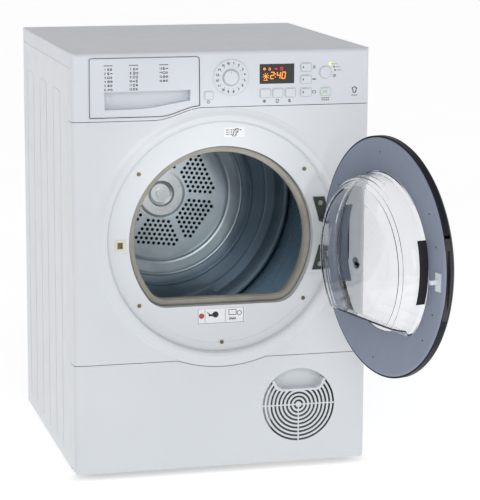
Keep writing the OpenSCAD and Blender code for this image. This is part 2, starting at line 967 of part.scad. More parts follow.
// front surface of the pressed rear wall, radius and Y
wall_line = [
    [146, wall_y], [150, wall_y - 2], [153, wall_y - 6], [157, wall_y - 7.5], [177, wall_y - 8],
    [179, wall_y - 11], [181.5, wall_y - 12], [184, wall_y - 10], [186, wall_y - 8.5], [200, wall_y - 9],
    [202, wall_y - 12], [204.5, wall_y - 13.5], [207, wall_y - 11.5], [209, wall_y - 10], [235, wall_y - 11],
    [238, wall_y - 13.5], [241, wall_y - 14], [258, wall_y - 15], [260.5, wall_y - 20], [264, wall_y - 29],
    [268, wall_y - 36], [273, wall_y - 40], [278, wall_y - 41], [282, wall_y - 40], [284.8, wall_y - 37]
];
module drum_rear_wall() {
    color("lightsteelblue") {
        turned(0, axis_z)
            polygon(concat(
                wall_line,
                [for (i = [len(wall_line) - 1:-1:0]) wall_line[i] + [i > 17 ? (i == 24 ? 0 : 0.6) : 0, 1.4]]
            ));
        along_y(wall_y, wall_y + 1.4)
            translate([0, axis_z])
                difference() {
                    circle(r = 146.5);
                    circle(r = 31);
                    for (k = [0:5])
                        rotate(24 + k * 60)
                            for (i = [0:6])
                                for (j = [-6:6])
                                    let (p = [62 + i * hole_pitch * 0.84, (j + (i % 2) / 2) * hole_pitch * 0.97])
                                    if (norm(p) < 120 && norm(p) > 60 && abs(p[1]) < p[0] * 0.577 - 9)
                                        translate(p)
                                            rotate(22.5)
                                                circle(d = hole_d, $fn = 8);
                }
        for (k = [0:5])
            translate([0, 0, axis_z])
                rotate([0, 6 + k * 60, 0])
                    box([57, wall_y - 1.6, -3], [112, wall_y + 0.4, 3]);
    }
}
module hub_plate_part() {
    color("silver")
        turned(0, axis_z)
            polygon([
                [0, wall_y + 9], [21, wall_y + 9], [27, wall_y + 7], [29.5, wall_y - 1.6], [48, wall_y - 1.6],
                [54, wall_y - 0.4], [54, wall_y], [30.9, wall_y], [29.2, wall_y + 8], [23, wall_y + 10.5],
                [0, wall_y + 10.5]
            ]);
}
module hub_bolts_part() {
    color("silver") {
        for (k = [0:5])
            rod(44 * cos(20 + k * 60), axis_z + 44 * sin(20 + k * 60), 3, wall_y - 4, wall_y - 1.6);
        rod(0, axis_z, 10, wall_y + 2.5, wall_y + 9);
    }
}
module drum_rivets_part() {
    color("silver")
        for (k = [0:5])
            rod(117 * cos(6 + k * 60), axis_z - 117 * sin(6 + k * 60), 3, wall_y - 2, wall_y);
}
module drum_lifters() {
    color("gainsboro")
        for (k = [0:2])
            translate([0, 0, axis_z])
                rotate([0, -55 - k * 120, 0])
                    intersection() {
                        box([drum_r - lifter_h, front_y + 90, -22], [drum_r, 226, 22]);
                        translate([0, 0, 0])
                            along_y(front_y + 80, 230)
                                intersection() {
                                    circle(r = drum_r);
                                    polygon([
                                        [drum_r - lifter_h, -6], [drum_r - lifter_h + 6, -12],
                                        [drum_r + 5, -24], [drum_r + 5, 24],
                                        [drum_r - lifter_h + 6, 12], [drum_r - lifter_h, 6]
                                    ]);
                                }
                    }
}
module drum_shaft_part() {
    color("silver")
        rod(0, axis_z, shaft_r, wall_y + 10.5, rear_y + 11);
}
// hub cover with its bolts, rivets and shaft
module drum_hub() {
    hub_plate_part();
    hub_bolts_part();
    drum_rivets_part();
    drum_shaft_part();
}
module rear_bearing_part() {
    color("gray")
        difference() {
            union() {
                rod(0, axis_z, 24, rear_y + sheet, rear_y + 8);
                rod(0, axis_z, 18, rear_y - 1.5, rear_y + 12);
            }
            rod(0, axis_z, 12.2, rear_y - 3, rear_y - 0.1);
            rod(0, axis_z, shaft_r + run, rear_y - 3, rear_y + 13);
        }
}
// rear panel with the drum bearing
module rear_panel() {
    rear_panel_part();
    rear_bearing_part();
}

// ---------- drive ----------

module motor_body_part() {
    color("dimgray")
        difference() {
            union() {
                rod(motor_x, motor_z, 58, 0, 110);
                rod(motor_x, motor_z, 46, -20, 130);
                box([motor_x - 50, 10, 18], [motor_x - 34, 100, motor_z - 20]);
                box([motor_x + 34, 10, 18], [motor_x + 50, 100, motor_z - 20]);
            }
            rod(motor_x, motor_z, 36, -8, 118);
            rod(motor_x, motor_z, rotor_r + run, -30, 140);
        }
}
module motor_rotor_part() {
    color("silver") {
        rod(motor_x, motor_z, rotor_r, -152, 196);
        rod(motor_x, motor_z, 35, 4, 106);
    }
}
module motor_pulley_part() {
    color("gray")
        difference() {
            union() {
                rod(motor_x, motor_z, pulley_r, belt_y0 - 1, belt_y1 + 1);
                rod(motor_x, motor_z, pulley_r + 4, belt_y0 - 4, belt_y0 - 1);
                rod(motor_x, motor_z, pulley_r + 4, belt_y1 + 1, belt_y1 + 4);
            }
            rod(motor_x, motor_z, rotor_r, belt_y0 - 10, belt_y1 + 10);
        }
}
// motor shaft with rotor and belt pulley
module motor_rotor() {
    motor_rotor_part();
    motor_pulley_part();
}
// fan wheel on the motor shaft between y0 and y1
module fan_wheel(y0, y1) {
    difference() {
        union() {
            rod(motor_x, motor_z, fan_r, y0, y0 + 2);
            rod(motor_x, motor_z, 14, y0, y1);
            for (k = [0:11])
                translate([motor_x, 0, motor_z])
                    rotate([0, k * 30, 0])
                        translate([fan_r - 26, 0, 0])
                            rotate([0, 25, 0])
                                box([-3, y0 + 1, -1], [23, y1, 1]);
        }
        rod(motor_x, motor_z, rotor_r, y0 - 5, y1 + 5);
    }
}
module process_fan_part() {
    color("white")
        fan_wheel(-148, -112);
}
module cooling_fan_part() {
    color("white")
        fan_wheel(156, 192);
}
// both fan wheels on the motor shaft
module fan_wheels() {
    process_fan_part();
    cooling_fan_part();
}
// round fan housing between y0 and y1 with an air inlet and an outlet at the side
module fan_case(y0, y1, side) {
    difference() {
        union() {
            rod(motor_x, motor_z, fan_r + 9, y0, y1);
            box([min(motor_x, motor_x + side * 84), y0, 26], [max(motor_x, motor_x + side * 84), y1, 78]);
        }
        rod(motor_x, motor_z, fan_r + 6, y0 + 3, y1 - 3);
        box([min(motor_x, motor_x + side * 90), y0 + 3, 29], [max(motor_x, motor_x + side * 90), y1 - 3, 75]);
        rod(motor_x, motor_z, 17, y0 - 1, y1 + 1);
    }
}
module process_fan_case_part() {
    color("gray")
        difference() {
            fan_case(-160, -100, 1);
            rod(motor_x, motor_z, 42, -165, -155);
        }
}
module cooling_fan_case_part() {
    color("gray")
        difference() {
            fan_case(146, 204, -1);
            rod(motor_x, motor_z, 42, 200, 210);
        }
}
module process_duct_part() {
    color("gray")
        difference() {
            box([-48, -160, 24], [48, 176, 128]);
            box([-45, -157, 27], [45, 180, 125]);
            box([-60, -157, 29], [-40, -103, 75]);
        }
}
module heater_box_part() {
    color("silver")
        difference() {
            box([-52, 178, 60], [52, rear_y - 0.2, 178]);
            box([-50, 170, 62], [50, rear_y + 5, 176]);
        }
}
// fan cases, air duct and heater box
module air_ducts() {
    process_fan_case_part();
    cooling_fan_case_part();
    process_duct_part();
    heater_box_part();
}
module heater_coil() {
    color("firebrick")
        for (i = [0:4])
            translate([-50, 200 + (i % 2) * 40, 78 + i * 20])
                rotate([0, 90, 0])
                    cylinder(r = 3.5, h = 100);
}

// direction of the pull between drum and pulley
pull = [motor_x, motor_z - axis_z];
pull_d = norm(pull);
// outline of the belt loop, t outside its inner face
module loop(t) {
    r1 = drum_o + gap + t;
    r2 = pulley_r + gap + t;
    b = asin((r1 - r2) / pull_d);
    a = atan2(pull[1], pull[0]);
    translate([0, axis_z]) {
        circle(r = r1);
        polygon([
            polar(r1 - 0.06, a + 90 - b), [0, 0], polar(r1 - 0.06, a - 90 + b),
            pull + polar(r2 - 0.03, a - 90 + b), pull + polar(r2 - 0.03, a + 90 - b)
        ]);
        translate(pull)
            circle(r = r2);
    }
}
module drum_belt() {
    color("black")
        along_y(belt_y0, belt_y1)
            difference() {
                loop(belt_t);
                loop(0);
            }
}
// centre of the idler, inside the loop on the left run
idler_a = atan2(pull[1], pull[0]) - 90 + asin((drum_o - pulley_r) / pull_d);
idler_c = pull * 0.86 + polar((drum_o * 0.14 + pulley_r * 0.86) - idler_r, idler_a);
module idler_pulley() {
    color("white")
        difference() {
            rod(idler_c[0], axis_z + idler_c[1], idler_r, belt_y0 + 0.5, belt_y1 - 0.5);
            rod(idler_c[0], axis_z + idler_c[1], 5 + run, belt_y0 - 5, belt_y1 + 5);
        }
}
module idler_arm_part() {
    color("silver")
        difference() {
            union() {
                rod(idler_c[0], axis_z + idler_c[1], 5, belt_y0 - 4, belt_y1 + 11);
                box([motor_x - 26, belt_y1 + 6, 18], [motor_x + 1, belt_y1 + 11, axis_z + idler_c[1] + 8]);
                box([motor_x - 26, belt_y1 + 6, 18], [motor_x + 1, belt_y1 + 28, 21]);
            }
            rod(motor_x, motor_z, rotor_r + 2, belt_y1, belt_y1 + 20);
        }
}
// motor with the arm that carries the idler
module motor_body() {
    motor_body_part();
    idler_arm_part();
}
// one front support roller, s is the side
module roller(s) {
    p = polar(roller_d, -90 + s * roller_angle);
    difference() {
        rod(p[0], axis_z + p[1], roller_r, front_y + 94, front_y + 114);
        rod(p[0], axis_z + p[1], 5 + run, front_y + 90, front_y + 120);
    }
}
module left_roller() {
    color("gray")
        roller(-1);
}
module right_roller() {
    color("gray")
        roller(1);
}

// ---------- air and water ----------

module filter_duct_part() {
    color("gray")
        difference() {
            box([-112, bulk_y + sheet + 0.2, 64], [112, bulk_y + 13.8, 232]);
            box([-109, bulk_y + sheet + 2, 60], [109, bulk_y + 12, 240]);
        }
}
// bulkhead with its roller axles and filter shaft
module front_bulkhead() {
    front_bulkhead_part();
    roller_axles_part();
    filter_duct_part();
}
module lint_filter_part() {
    color("steelblue")
        difference() {
            box([-107, bulk_y + 3.6, 190], [107, bulk_y + 11.6, 350]);
            box([-99, bulk_y + 3, 200], [-3, bulk_y + 13, 338]);
            box([3, bulk_y + 3, 200], [99, bulk_y + 13, 338]);
        }
}
module lint_mesh_part() {
    color("gainsboro") {
        box([-99, bulk_y + 7, 200], [-3, bulk_y + 8, 338]);
        box([3, bulk_y + 7, 200], [99, bulk_y + 8, 338]);
    }
}
// filter frame with its mesh
module lint_filter() {
    lint_filter_part();
    lint_mesh_part();
}
module condenser_frame() {
    color("darkgray")
        difference() {
            union() {
                box([68, front_y + 52, 40], [252, front_y + 60, 182]);
                box([68, front_y + 60, 40], [252, 60, 44]);
                box([68, front_y + 60, 178], [252, 60, 182]);
                box([68, 52, 40], [252, 60, 182]);
                box([130, front_y + 40, 104], [190, front_y + 44, 118]);
                box([130, front_y + 42, 104], [134, front_y + 53, 118]);
                box([186, front_y + 42, 104], [190, front_y + 53, 118]);
            }
            box([84, 50, 56], [236, 62, 166]);
        }
}
module condenser_core() {
    color("silver")
        along_y(front_y + 60.2, 51.8)
            difference() {
                translate([76, 46])
                    square([168, 131]);
                for (i = [0:17])
                    translate([78 + i * 9.2, 48])
                        square([7.8, 127]);
            }
}
module condensate_pump_part() {
    color("gray") {
        box([-222, 207, 18.2], [-178, 268, 80]);
        translate([-206, 262, 80])
            cylinder(r = 8, h = 14);
    }
}
module condensate_hose_part() {
    color("dimgray") {
        translate([-272, 262, 86])
            cylinder(r = 6, h = 699);
        translate([-272, 262, 785])
            rotate([0, 90, 0])
                cylinder(r = 6, h = 22);
        translate([-272, 262, 785])
            sphere(r = 6);
        translate([-250, 262, 785])
            sphere(r = 6);
        rod(-250, 785, 6, 182, 262);
        translate([-272, 262, 86])
            rotate([0, 90, 0])
                cylinder(r = 6, h = 57.9);
    }
}
// pump in the sump and hose up to the container
module condensate_drain() {
    condensate_pump_part();
    condensate_hose_part();
}

// ---------- plinth and feet ----------

module plinth_panel() {
    color("white") {
        difference() {
            union() {
                intersection() {
                    difference() {
                        translate([0, 0, floor_gap])
                            linear_extrude(plinth_z)
                                polygon(skin(0));
                        translate([0, 0, floor_gap - 1])
                            linear_extrude(plinth_z + 2)
                                polygon(open_skin(2));
                    }
                    along_y(front_y - 5, wrap_y + 5)
                        difference() {
                            translate([-half_w - 1, floor_gap])
                                square([cab_w + 2, plinth_z - seam - floor_gap]);
                            translate([0, dish_z])
                                circle(r = dip_r);
                        }
                }
                // pocket behind the finger grip
                along_y(front_y + 1, front_y + 26)
                    polygon(grip(2));
            }
            along_y(front_y - 1, front_y + 24)
                polygon(grip(0));
            along_y(front_y - 1, front_y + 5)
                difference() {
                    for (i = [1:grille_n])
                        translate([grille_x, grille_z])
                            difference() {
                                circle(r = grille_r * i / grille_n * 0.97 + 2.2);
                                circle(r = grille_r * i / grille_n * 0.97 - 2);
                            }
                    polygon(grip(4));
                    translate([grille_x - 90, grille_z - 1.25])
                        square([180, 2.5]);
                    translate([grille_x - 1.25, grille_z - 90])
                        square([2.5, 90]);
                }
            // rounded lower rear corners pass the side panels as the panel tilts
            for (s = [-1, 1])
                translate([s * (half_w - 9.5), 0, 0])
                    along_x(-11, 11)
                        difference() {
                            translate([flap_y - 18, floor_gap - 1])
                                square([wrap_y - flap_y + 20, flap_z - floor_gap + 1]);
                            translate([flap_y, flap_z])
                                circle(r = wrap_y + 0.5 - flap_y);
                            translate([flap_y - 20, flap_z - wrap_y - 0.5 + flap_y])
                                square([20, 40]);
                        }
        }
        for (s = [-1, 1])
            difference() {
                box([s * (half_w - 28) - 2, front_y + 1, flap_z - 8],
                    [s * (half_w - 28) + 2, flap_y + 6, flap_z + 9]);
                translate([s * (half_w - 28) - 5, flap_y, flap_z])
                    rotate([0, 90, 0])
                        cylinder(r = 3 + run, h = 10);
            }
    }
}
// outline of the finger grip, grown by t
function grip(t) = concat(
    [for (a = [38:8:142]) [grille_x, grille_z] + polar(grille_r + 0.4 + t, a)],
    [
        [grille_x - 51.5 - t, 182 - t], [grille_x - 43 - t, 167 - t], [grille_x - 31 - t, 162 - t],
        [grille_x + 37 + t, 162 - t], [grille_x + 45.5 + t, 167 - t], [grille_x + 52.5 + t, 182 - t]
    ]
);
// adjustable foot
module foot(x, y) {
    translate([x, y, 0])
        cylinder(r = 22, h = 5);
    translate([x, y, 5])
        cylinder(r = 15, h = 4);
    translate([x, y, 9])
        cylinder(r = 9, h = 4.6, $fn = 6);
    translate([x, y, 4])
        cylinder(r = 5, h = 35);
}
module foot_front_left() {
    color("black")
        foot(60 - half_w, front_y + 65);
}
module foot_front_right() {
    color("black")
        foot(half_w - 60, front_y + 65);
}
module foot_rear_left() {
    color("black")
        foot(60 - half_w, back_y - 60);
}
module foot_rear_right() {
    color("black")
        foot(half_w - 60, back_y - 60);
}

base_tray();
left_side_panel();
right_side_panel();
rear_panel();
rear_duct_cover();
worktop();
control_panel();
front_panel();
front_bulkhead();
dial_plate();
programme_knob();
power_button();
row_button_1();
row_button_2();
row_button_3();
side_button_1();
side_button_2();
side_button_3();
eco_button();
start_button();
display_window();
display_board();
container_front();
container_tank();
container_guide();
door_gasket();
felt_seals();
strike_plate();
front_fasteners();
hinge_brackets();
door_inner_frame();
door_outer_frame();
door_grip();
door_bowl();
door_outer_pane();
door_hook();
door_screws();
hinge_leaf();
drum_shell();
drum_rear_wall();
drum_hub();
drum_lifters();
motor_body();
motor_rotor();
fan_wheels();
air_ducts();
heater_coil();
drum_belt();
idler_pulley();
left_roller();
right_roller();
lint_filter();
condenser_frame();
condenser_core();
condensate_drain();
plinth_panel();
foot_front_left();
foot_front_right();
foot_rear_left();
foot_rear_right();
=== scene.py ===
import bpy
import bmesh
import json
import math
from mathutils import Matrix, Vector


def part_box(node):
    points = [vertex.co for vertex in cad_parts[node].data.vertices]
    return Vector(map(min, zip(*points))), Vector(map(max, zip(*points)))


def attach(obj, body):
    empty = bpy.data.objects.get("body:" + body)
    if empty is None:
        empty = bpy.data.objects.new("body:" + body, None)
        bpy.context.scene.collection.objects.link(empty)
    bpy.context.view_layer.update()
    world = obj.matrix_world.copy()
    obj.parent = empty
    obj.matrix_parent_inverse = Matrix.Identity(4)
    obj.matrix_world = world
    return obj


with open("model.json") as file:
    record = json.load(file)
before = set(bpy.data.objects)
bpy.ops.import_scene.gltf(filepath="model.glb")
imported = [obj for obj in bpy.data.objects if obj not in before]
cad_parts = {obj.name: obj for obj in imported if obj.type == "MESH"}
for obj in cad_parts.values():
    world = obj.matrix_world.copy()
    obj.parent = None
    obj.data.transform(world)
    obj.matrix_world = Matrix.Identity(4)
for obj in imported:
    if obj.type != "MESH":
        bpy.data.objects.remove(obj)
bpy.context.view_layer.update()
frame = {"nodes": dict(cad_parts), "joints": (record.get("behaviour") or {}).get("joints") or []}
cad = frame["nodes"]
scene = bpy.context.scene
MM = 0.001

# ---------------------------------------------------------------- camera

SENSOR_MM = 36.0
LENS_MM = 155.1528
CAMERA_AT = (-1.0097, -4.3693, 1.2525)
YAW, PITCH, ROLL = math.radians(14.407), math.radians(-10.773), math.radians(0.251)


def make_camera():
    data = bpy.data.cameras.new("camera")
    data.sensor_width = SENSOR_MM
    data.lens = LENS_MM
    data.clip_start, data.clip_end = 0.05, 200.0
    cam = bpy.data.objects.new("camera", data)
    scene.collection.objects.link(cam)
    fwd = Vector((math.sin(YAW) * math.cos(PITCH), math.cos(YAW) * math.cos(PITCH), math.sin(PITCH)))
    side = Vector((math.cos(YAW), -math.sin(YAW), 0.0))
    up = side.cross(fwd)
    right = side * math.cos(ROLL) + up * math.sin(ROLL)
    top = up * math.cos(ROLL) - side * math.sin(ROLL)
    m = Matrix.Identity(4)
    for i in range(3):
        m[i][0], m[i][1], m[i][2] = right[i], top[i], -fwd[i]
    m[0][3], m[1][3], m[2][3] = CAMERA_AT
    cam.matrix_world = m
    scene.camera = cam


make_camera()

# ---------------------------------------------------------------- materials


class Nodes:
    """Small helper round a material's node tree."""

    def __init__(self, name):
        self.mat = bpy.data.materials.new(name)
        self.mat.use_nodes = True
        self.tree = self.mat.node_tree
        self.shader = self.tree.nodes["Principled BSDF"]
        self.coord = self.add("ShaderNodeTexCoord").outputs["Object"]
        self.height = None

    def add(self, kind, **values):
        node = self.tree.nodes.new(kind)
        for key, value in values.items():
            if hasattr(node, key):
                setattr(node, key, value)
            else:
                node.inputs[key.replace("_", " ")].default_value = value
        return node

    def link(self, a, b):
        self.tree.links.new(a, b)

    def put(self, **values):
        for key, value in values.items():
            self.shader.inputs[key.replace("_", " ")].default_value = value

    def scaled(self, scale):
        node = self.add("ShaderNodeMapping")
        node.inputs["Scale"].default_value = scale
        self.link(self.coord, node.inputs["Vector"])
        return node.outputs["Vector"]

    def noise(self, scale, detail=3.0, rough=0.55, source=None, distortion=0.0):
        node = self.add("ShaderNodeTexNoise")
        node.inputs["Scale"].default_value = scale
        node.inputs["Detail"].default_value = detail
        node.inputs["Roughness"].default_value = rough
        node.inputs["Distortion"].default_value = distortion
        self.link(source or self.coord, node.inputs["Vector"])
        return node.outputs[0]

    def cells(self, scale):
        node = self.add("ShaderNodeTexVoronoi")
        node.inputs["Scale"].default_value = scale
        self.link(self.coord, node.inputs["Vector"])
        return node.outputs["Distance"]

    def math(self, op, a, b=None):
        node = self.add("ShaderNodeMath", operation=op)
        for i, v in enumerate((a, b)):
            if v is None:
                continue
            if isinstance(v, (int, float)):
                node.inputs[i].default_value = v
            else:
                self.link(v, node.inputs[i])
        return node.outputs[0]

    def ramp(self, source, stops):
        """Colours along a value; the stops are (place, colour) or (place, grey)."""
        node = self.add("ShaderNodeValToRGB")
        node.color_ramp.interpolation = "EASE"
        while len(node.color_ramp.elements) < len(stops):
            node.color_ramp.elements.new(0.5)
        for e, (at, col) in zip(node.color_ramp.elements, stops):
            e.position = at
            rgb = col if isinstance(col, tuple) else (col, col, col)
            e.color = (*rgb, 1.0)
        self.link(source, node.inputs[0])
        return node.outputs[0]

    def mix(self, factor, a, b):
        node = self.add("ShaderNodeMix", data_type="RGBA", blend_type="MIX")
        for i, v in ((0, factor), (6, a), (7, b)):
            self.link(v, node.inputs[i])
        return node.outputs[2]

    def color(self, socket):
        self.link(socket, self.shader.inputs["Base Color"])

    def rough(self, socket):
        self.link(socket, self.shader.inputs["Roughness"])

    def bump(self, height, strength, distance):
        node = self.add("ShaderNodeBump")
        node.inputs["Strength"].default_value = strength
        node.inputs["Distance"].default_value = distance
        self.link(height, node.inputs["Height"])
        if self.height is not None:
            self.link(self.height, node.inputs["Normal"])
        self.height = node.outputs["Normal"]
        self.link(self.height, self.shader.inputs["Normal"])

    def polar(self, cx, cz):
        """Radius, angle and depth about a Y axis through (cx, cz), in metres and radians."""
        sep = self.add("ShaderNodeSeparateXYZ")
        self.link(self.coord, sep.inputs[0])
        x = self.math("SUBTRACT", sep.outputs[0], cx)
        z = self.math("SUBTRACT", sep.outputs[2], cz)
        r = self.math("SQRT", self.math("ADD", self.math("MULTIPLY", x, x), self.math("MULTIPLY", z, z)))
        a = self.math("ARCTAN2", z, x)
        return r, a, sep.outputs[1]

    def join(self, x, y, z):
        node = self.add("ShaderNodeCombineXYZ")
        for i, v in enumerate((x, y, z)):
            if isinstance(v, (int, float)):
                node.inputs[i].default_value = v
            else:
                self.link(v, node.inputs[i])
        return node.outputs[0]


def shade(c, k):
    return tuple(min(1.0, v * k) for v in c)


def plastic(name, col, lo=0.34, hi=0.46, spread=0.03, grain=1400.0, depth=0.00003, coat=0.0, spec=0.5):
    """Moulded plastic or paint: faint cloud of colour, uneven gloss and a fine skin."""
    n = Nodes(name)
    n.put(Specular_IOR_Level=spec, Coat_Weight=coat, Coat_Roughness=0.12)
    cloud = n.noise(7.0, 4.0)
    n.color(n.ramp(cloud, [(0.3, shade(col, 1 - spread)), (0.7, shade(col, 1 + spread))]))
    n.rough(n.ramp(n.noise(38.0, 5.0), [(0.25, lo), (0.75, hi)]))
    n.bump(n.noise(grain, 2.0), 0.5, depth)
    return n.mat


def enamel(name, col):
    """Sprayed enamel on sheet steel, with a faint orange peel."""
    n = Nodes(name)
    n.put(Specular_IOR_Level=0.5, Coat_Weight=0.25, Coat_Roughness=0.18)
    n.color(n.ramp(n.noise(4.0, 5.0), [(0.3, shade(col, 0.985)), (0.7, shade(col, 1.01))]))
    n.rough(n.ramp(n.noise(22.0, 5.0), [(0.25, 0.30), (0.75, 0.40)]))
    n.bump(n.noise(420.0, 3.0), 0.35, 0.00004)
    n.bump(n.noise(2.2, 1.0), 0.25, 0.0015)
    return n.mat


def drum_sheet(name, col):
    """Zinc coated sheet rolled round the drum: long drawn streaks, soft spangle, slow waves."""
    n = Nodes(name)
    n.put(Metallic=1.0, Anisotropic=0.3)
    r, a, y = n.polar(0.0, 0.477)
    # long round the drum, short along it
    streak = n.noise(1.0, 3.0, 0.6, n.join(n.math("MULTIPLY", a, 3.0), n.math("MULTIPLY", y, 260.0),
                                            n.math("MULTIPLY", r, 60.0)))
    cloud = n.noise(7.0, 3.0, 0.5)
    tone = n.math("ADD", n.math("MULTIPLY", streak, 0.35), n.math("MULTIPLY", cloud, 0.65))
    n.color(n.ramp(tone, [(0.34, shade(col, 0.86)), (0.52, col), (0.68, shade(col, 1.12))]))
    n.rough(n.ramp(streak, [(0.3, 0.20), (0.7, 0.29)]))
    n.bump(streak, 0.12, 0.00003)
    wave = n.noise(1.0, 1.0, 0.5, n.join(n.math("MULTIPLY", a, 2.2), n.math("MULTIPLY", y, 16.0), 0.0), 0.5)
    n.bump(wave, 0.16, 0.002)
    return n.mat


def drum_back(name, col):
    """Pressed rear wall: a turned sheen in rings, soft spangle, uneven gloss, and painted shade on the
    outer steps towards the shell.
    """
    n = Nodes(name)
    n.put(Metallic=0.6)
    r, a, y = n.polar(0.0, 0.477)
    turn = n.noise(1.0, 2.0, 0.5, n.join(n.math("MULTIPLY", a, 1.2), n.math("MULTIPLY", r, 240.0), 0.0))
    cloud = n.noise(11.0, 4.0, 0.55)
    middle = n.ramp(cloud, [(0.32, shade(col, 0.86)), (0.5, col), (0.7, shade(col, 1.1))])
    # painted shade colour for the outer steps of the rear wall
    edge = (col[0] * 0.42, col[1] * 0.48, col[2] * 0.54)
    outer = n.ramp(cloud, [(0.32, shade(edge, 0.86)), (0.5, edge), (0.7, shade(edge, 1.1))])
    # painted shade: the steps towards the shell are painted darker than the pressed middle, in place of the
    # shade in the corner by the shell
    step_shade_mask = n.math("MULTIPLY", n.math("SUBTRACT", r, 0.172), 40.0)
    n.color(n.mix(n.math("MINIMUM", n.math("MAXIMUM", step_shade_mask, 0.0), 1.0), middle, outer))
    n.rough(n.ramp(n.math("ADD", n.math("MULTIPLY", turn, 0.5), n.math("MULTIPLY", cloud, 0.5)),
                   [(0.3, 0.30), (0.7, 0.42)]))
    n.bump(turn, 0.08, 0.00003)
    return n.mat


def lined_sheet(name):
    """Zinc coated sheet, painted near black as painted shade on the side that faces the drum."""
    n = Nodes(name)
    sep = n.add("ShaderNodeSeparateXYZ")
    n.link(n.add("ShaderNodeTexCoord").outputs["Normal"], sep.inputs[0])
    shaded_side = n.math("LESS_THAN", sep.outputs[1], -0.2)
    cloud = n.noise(60.0, 4.0)
    outer = n.ramp(cloud, [(0.3, (0.42, 0.43, 0.44)), (0.7, (0.56, 0.57, 0.58))])
    # painted shade: near-black colour on the faces towards the drum, in place of the shade behind the
    # drum's holes
    painted_shade = n.ramp(cloud, [(0.3, (0.008, 0.009, 0.010)), (0.7, (0.016, 0.018, 0.020))])
    n.put(Metallic=0.35)
    n.color(n.mix(shaded_side, outer, painted_shade))
    n.rough(n.ramp(cloud, [(0.3, 0.45), (0.7, 0.62)]))
    n.bump(cloud, 0.2, 0.0001)
    return n.mat


def fastener(name):
    """Yellow passivated dish screws and plain plated hinge screws."""
    n = Nodes(name)
    n.put(Metallic=0.85)
    sep = n.add("ShaderNodeSeparateXYZ")
    n.link(n.coord, sep.inputs[0])
    at_hinge = n.math("GREATER_THAN", sep.outputs[0], 0.185)
    cloud = n.noise(240.0, 3.0)
    yellow = n.ramp(cloud, [(0.3, (0.10, 0.08, 0.045)), (0.7, (0.24, 0.19, 0.11))])
    plain = n.ramp(cloud, [(0.3, (0.26, 0.28, 0.27)), (0.7, (0.52, 0.54, 0.53))])
    n.color(n.mix(at_hinge, yellow, plain))
    n.rough(n.ramp(cloud, [(0.3, 0.3), (0.7, 0.5)]))
    n.bump(cloud, 0.3, 0.0001)
    return n.mat


def steel(name, col, lo=0.22, hi=0.38, across=(30.0, 900.0, 900.0), metal=1.0):
    """Plated steel with drawn lines."""
    n = Nodes(name)
    n.put(Metallic=metal, Anisotropic=0.3)
    line = n.noise(1.0, 3.0, 0.6, n.scaled(across))
    cloud = n.noise(14.0, 4.0)
    n.color(n.ramp(cloud, [(0.3, shade(col, 0.86)), (0.7, shade(col, 1.12))]))
    n.rough(n.ramp(line, [(0.3, lo), (0.7, hi)]))
    n.bump(line, 0.2, 0.00004)
    return n.mat


def zinc(name, col):
    """Hot dipped sheet with its crystal spangle."""
    n = Nodes(name)
    n.put(Metallic=0.9)
    cell = n.cells(95.0)
    n.color(n.ramp(n.math("ADD", n.math("MULTIPLY", cell, 0.7), n.math("MULTIPLY", n.noise(30.0), 0.5)),
                   [(0.25, shade(col, 0.85)), (0.8, shade(col, 1.15))]))
    n.rough(n.ramp(cell, [(0.0, 0.34), (0.7, 0.52)]))
    n.bump(cell, 0.12, 0.0001)
    return n.mat


def rubber(name, col, ribs=0.0):
    """Matt rubber, with ribs along Y if their number of radians per metre is given."""
    n = Nodes(name)
    n.put(Specular_IOR_Level=0.35, Sheen_Weight=0.1, Sheen_Roughness=0.4)
    n.color(n.ramp(n.noise(24.0, 5.0), [(0.3, shade(col, 0.92)), (0.7, shade(col, 1.06))]))
    n.rough(n.ramp(n.noise(160.0, 3.0), [(0.3, 0.52), (0.7, 0.68)]))
    n.bump(n.noise(900.0, 3.0), 0.5, 0.00006)
    if ribs:
        sep = n.add("ShaderNodeSeparateXYZ")
        n.link(n.coord, sep.inputs[0])
        n.bump(n.math("SINE", n.math("MULTIPLY", sep.outputs[1], ribs)), 0.8, 0.0006)
    return n.mat


def felt(name, col):
    """Pressed felt with loose fibres."""
    n = Nodes(name)
    n.put(Specular_IOR_Level=0.15, Sheen_Weight=0.5, Sheen_Roughness=0.6)
    fibre = n.noise(700.0, 6.0, 0.75, None, 2.0)
    n.color(n.ramp(fibre, [(0.3, shade(col, 0.6)), (0.7, shade(col, 1.25))]))
    n.rough(n.ramp(fibre, [(0.3, 0.85), (0.7, 0.98)]))
    n.bump(fibre, 1.0, 0.0006)
    return n.mat


def clear(name, col, rough=0.015):
    """Clear moulding: fine flow lines and a trace of haze."""
    n = Nodes(name)
    n.put(Transmission_Weight=1.0, IOR=1.42, Specular_IOR_Level=0.5)
    n.color(n.ramp(n.noise(5.0, 3.0), [(0.3, shade(col, 0.985)), (0.7, shade(col, 1.0))]))
    n.rough(n.ramp(n.noise(40.0, 4.0), [(0.3, rough * 0.5), (0.75, rough * 1.6)]))
    n.bump(n.noise(6.0, 2.0), 0.12, 0.0012)
    return n.mat


def glowing(name, col, power):
    """A lit segment under a thin diffuser, with a faint fine mottle."""
    n = Nodes(name)
    n.put(Emission_Strength=power)
    cloud = n.noise(900.0, 2.0)
    out = n.ramp(cloud, [(0.2, shade(col, 0.75)), (0.8, shade(col, 1.0))])
    n.color(out)
    n.link(out, n.shader.inputs["Emission Color"])
    n.rough(n.ramp(cloud, [(0.2, 0.35), (0.8, 0.5)]))
    return n.mat


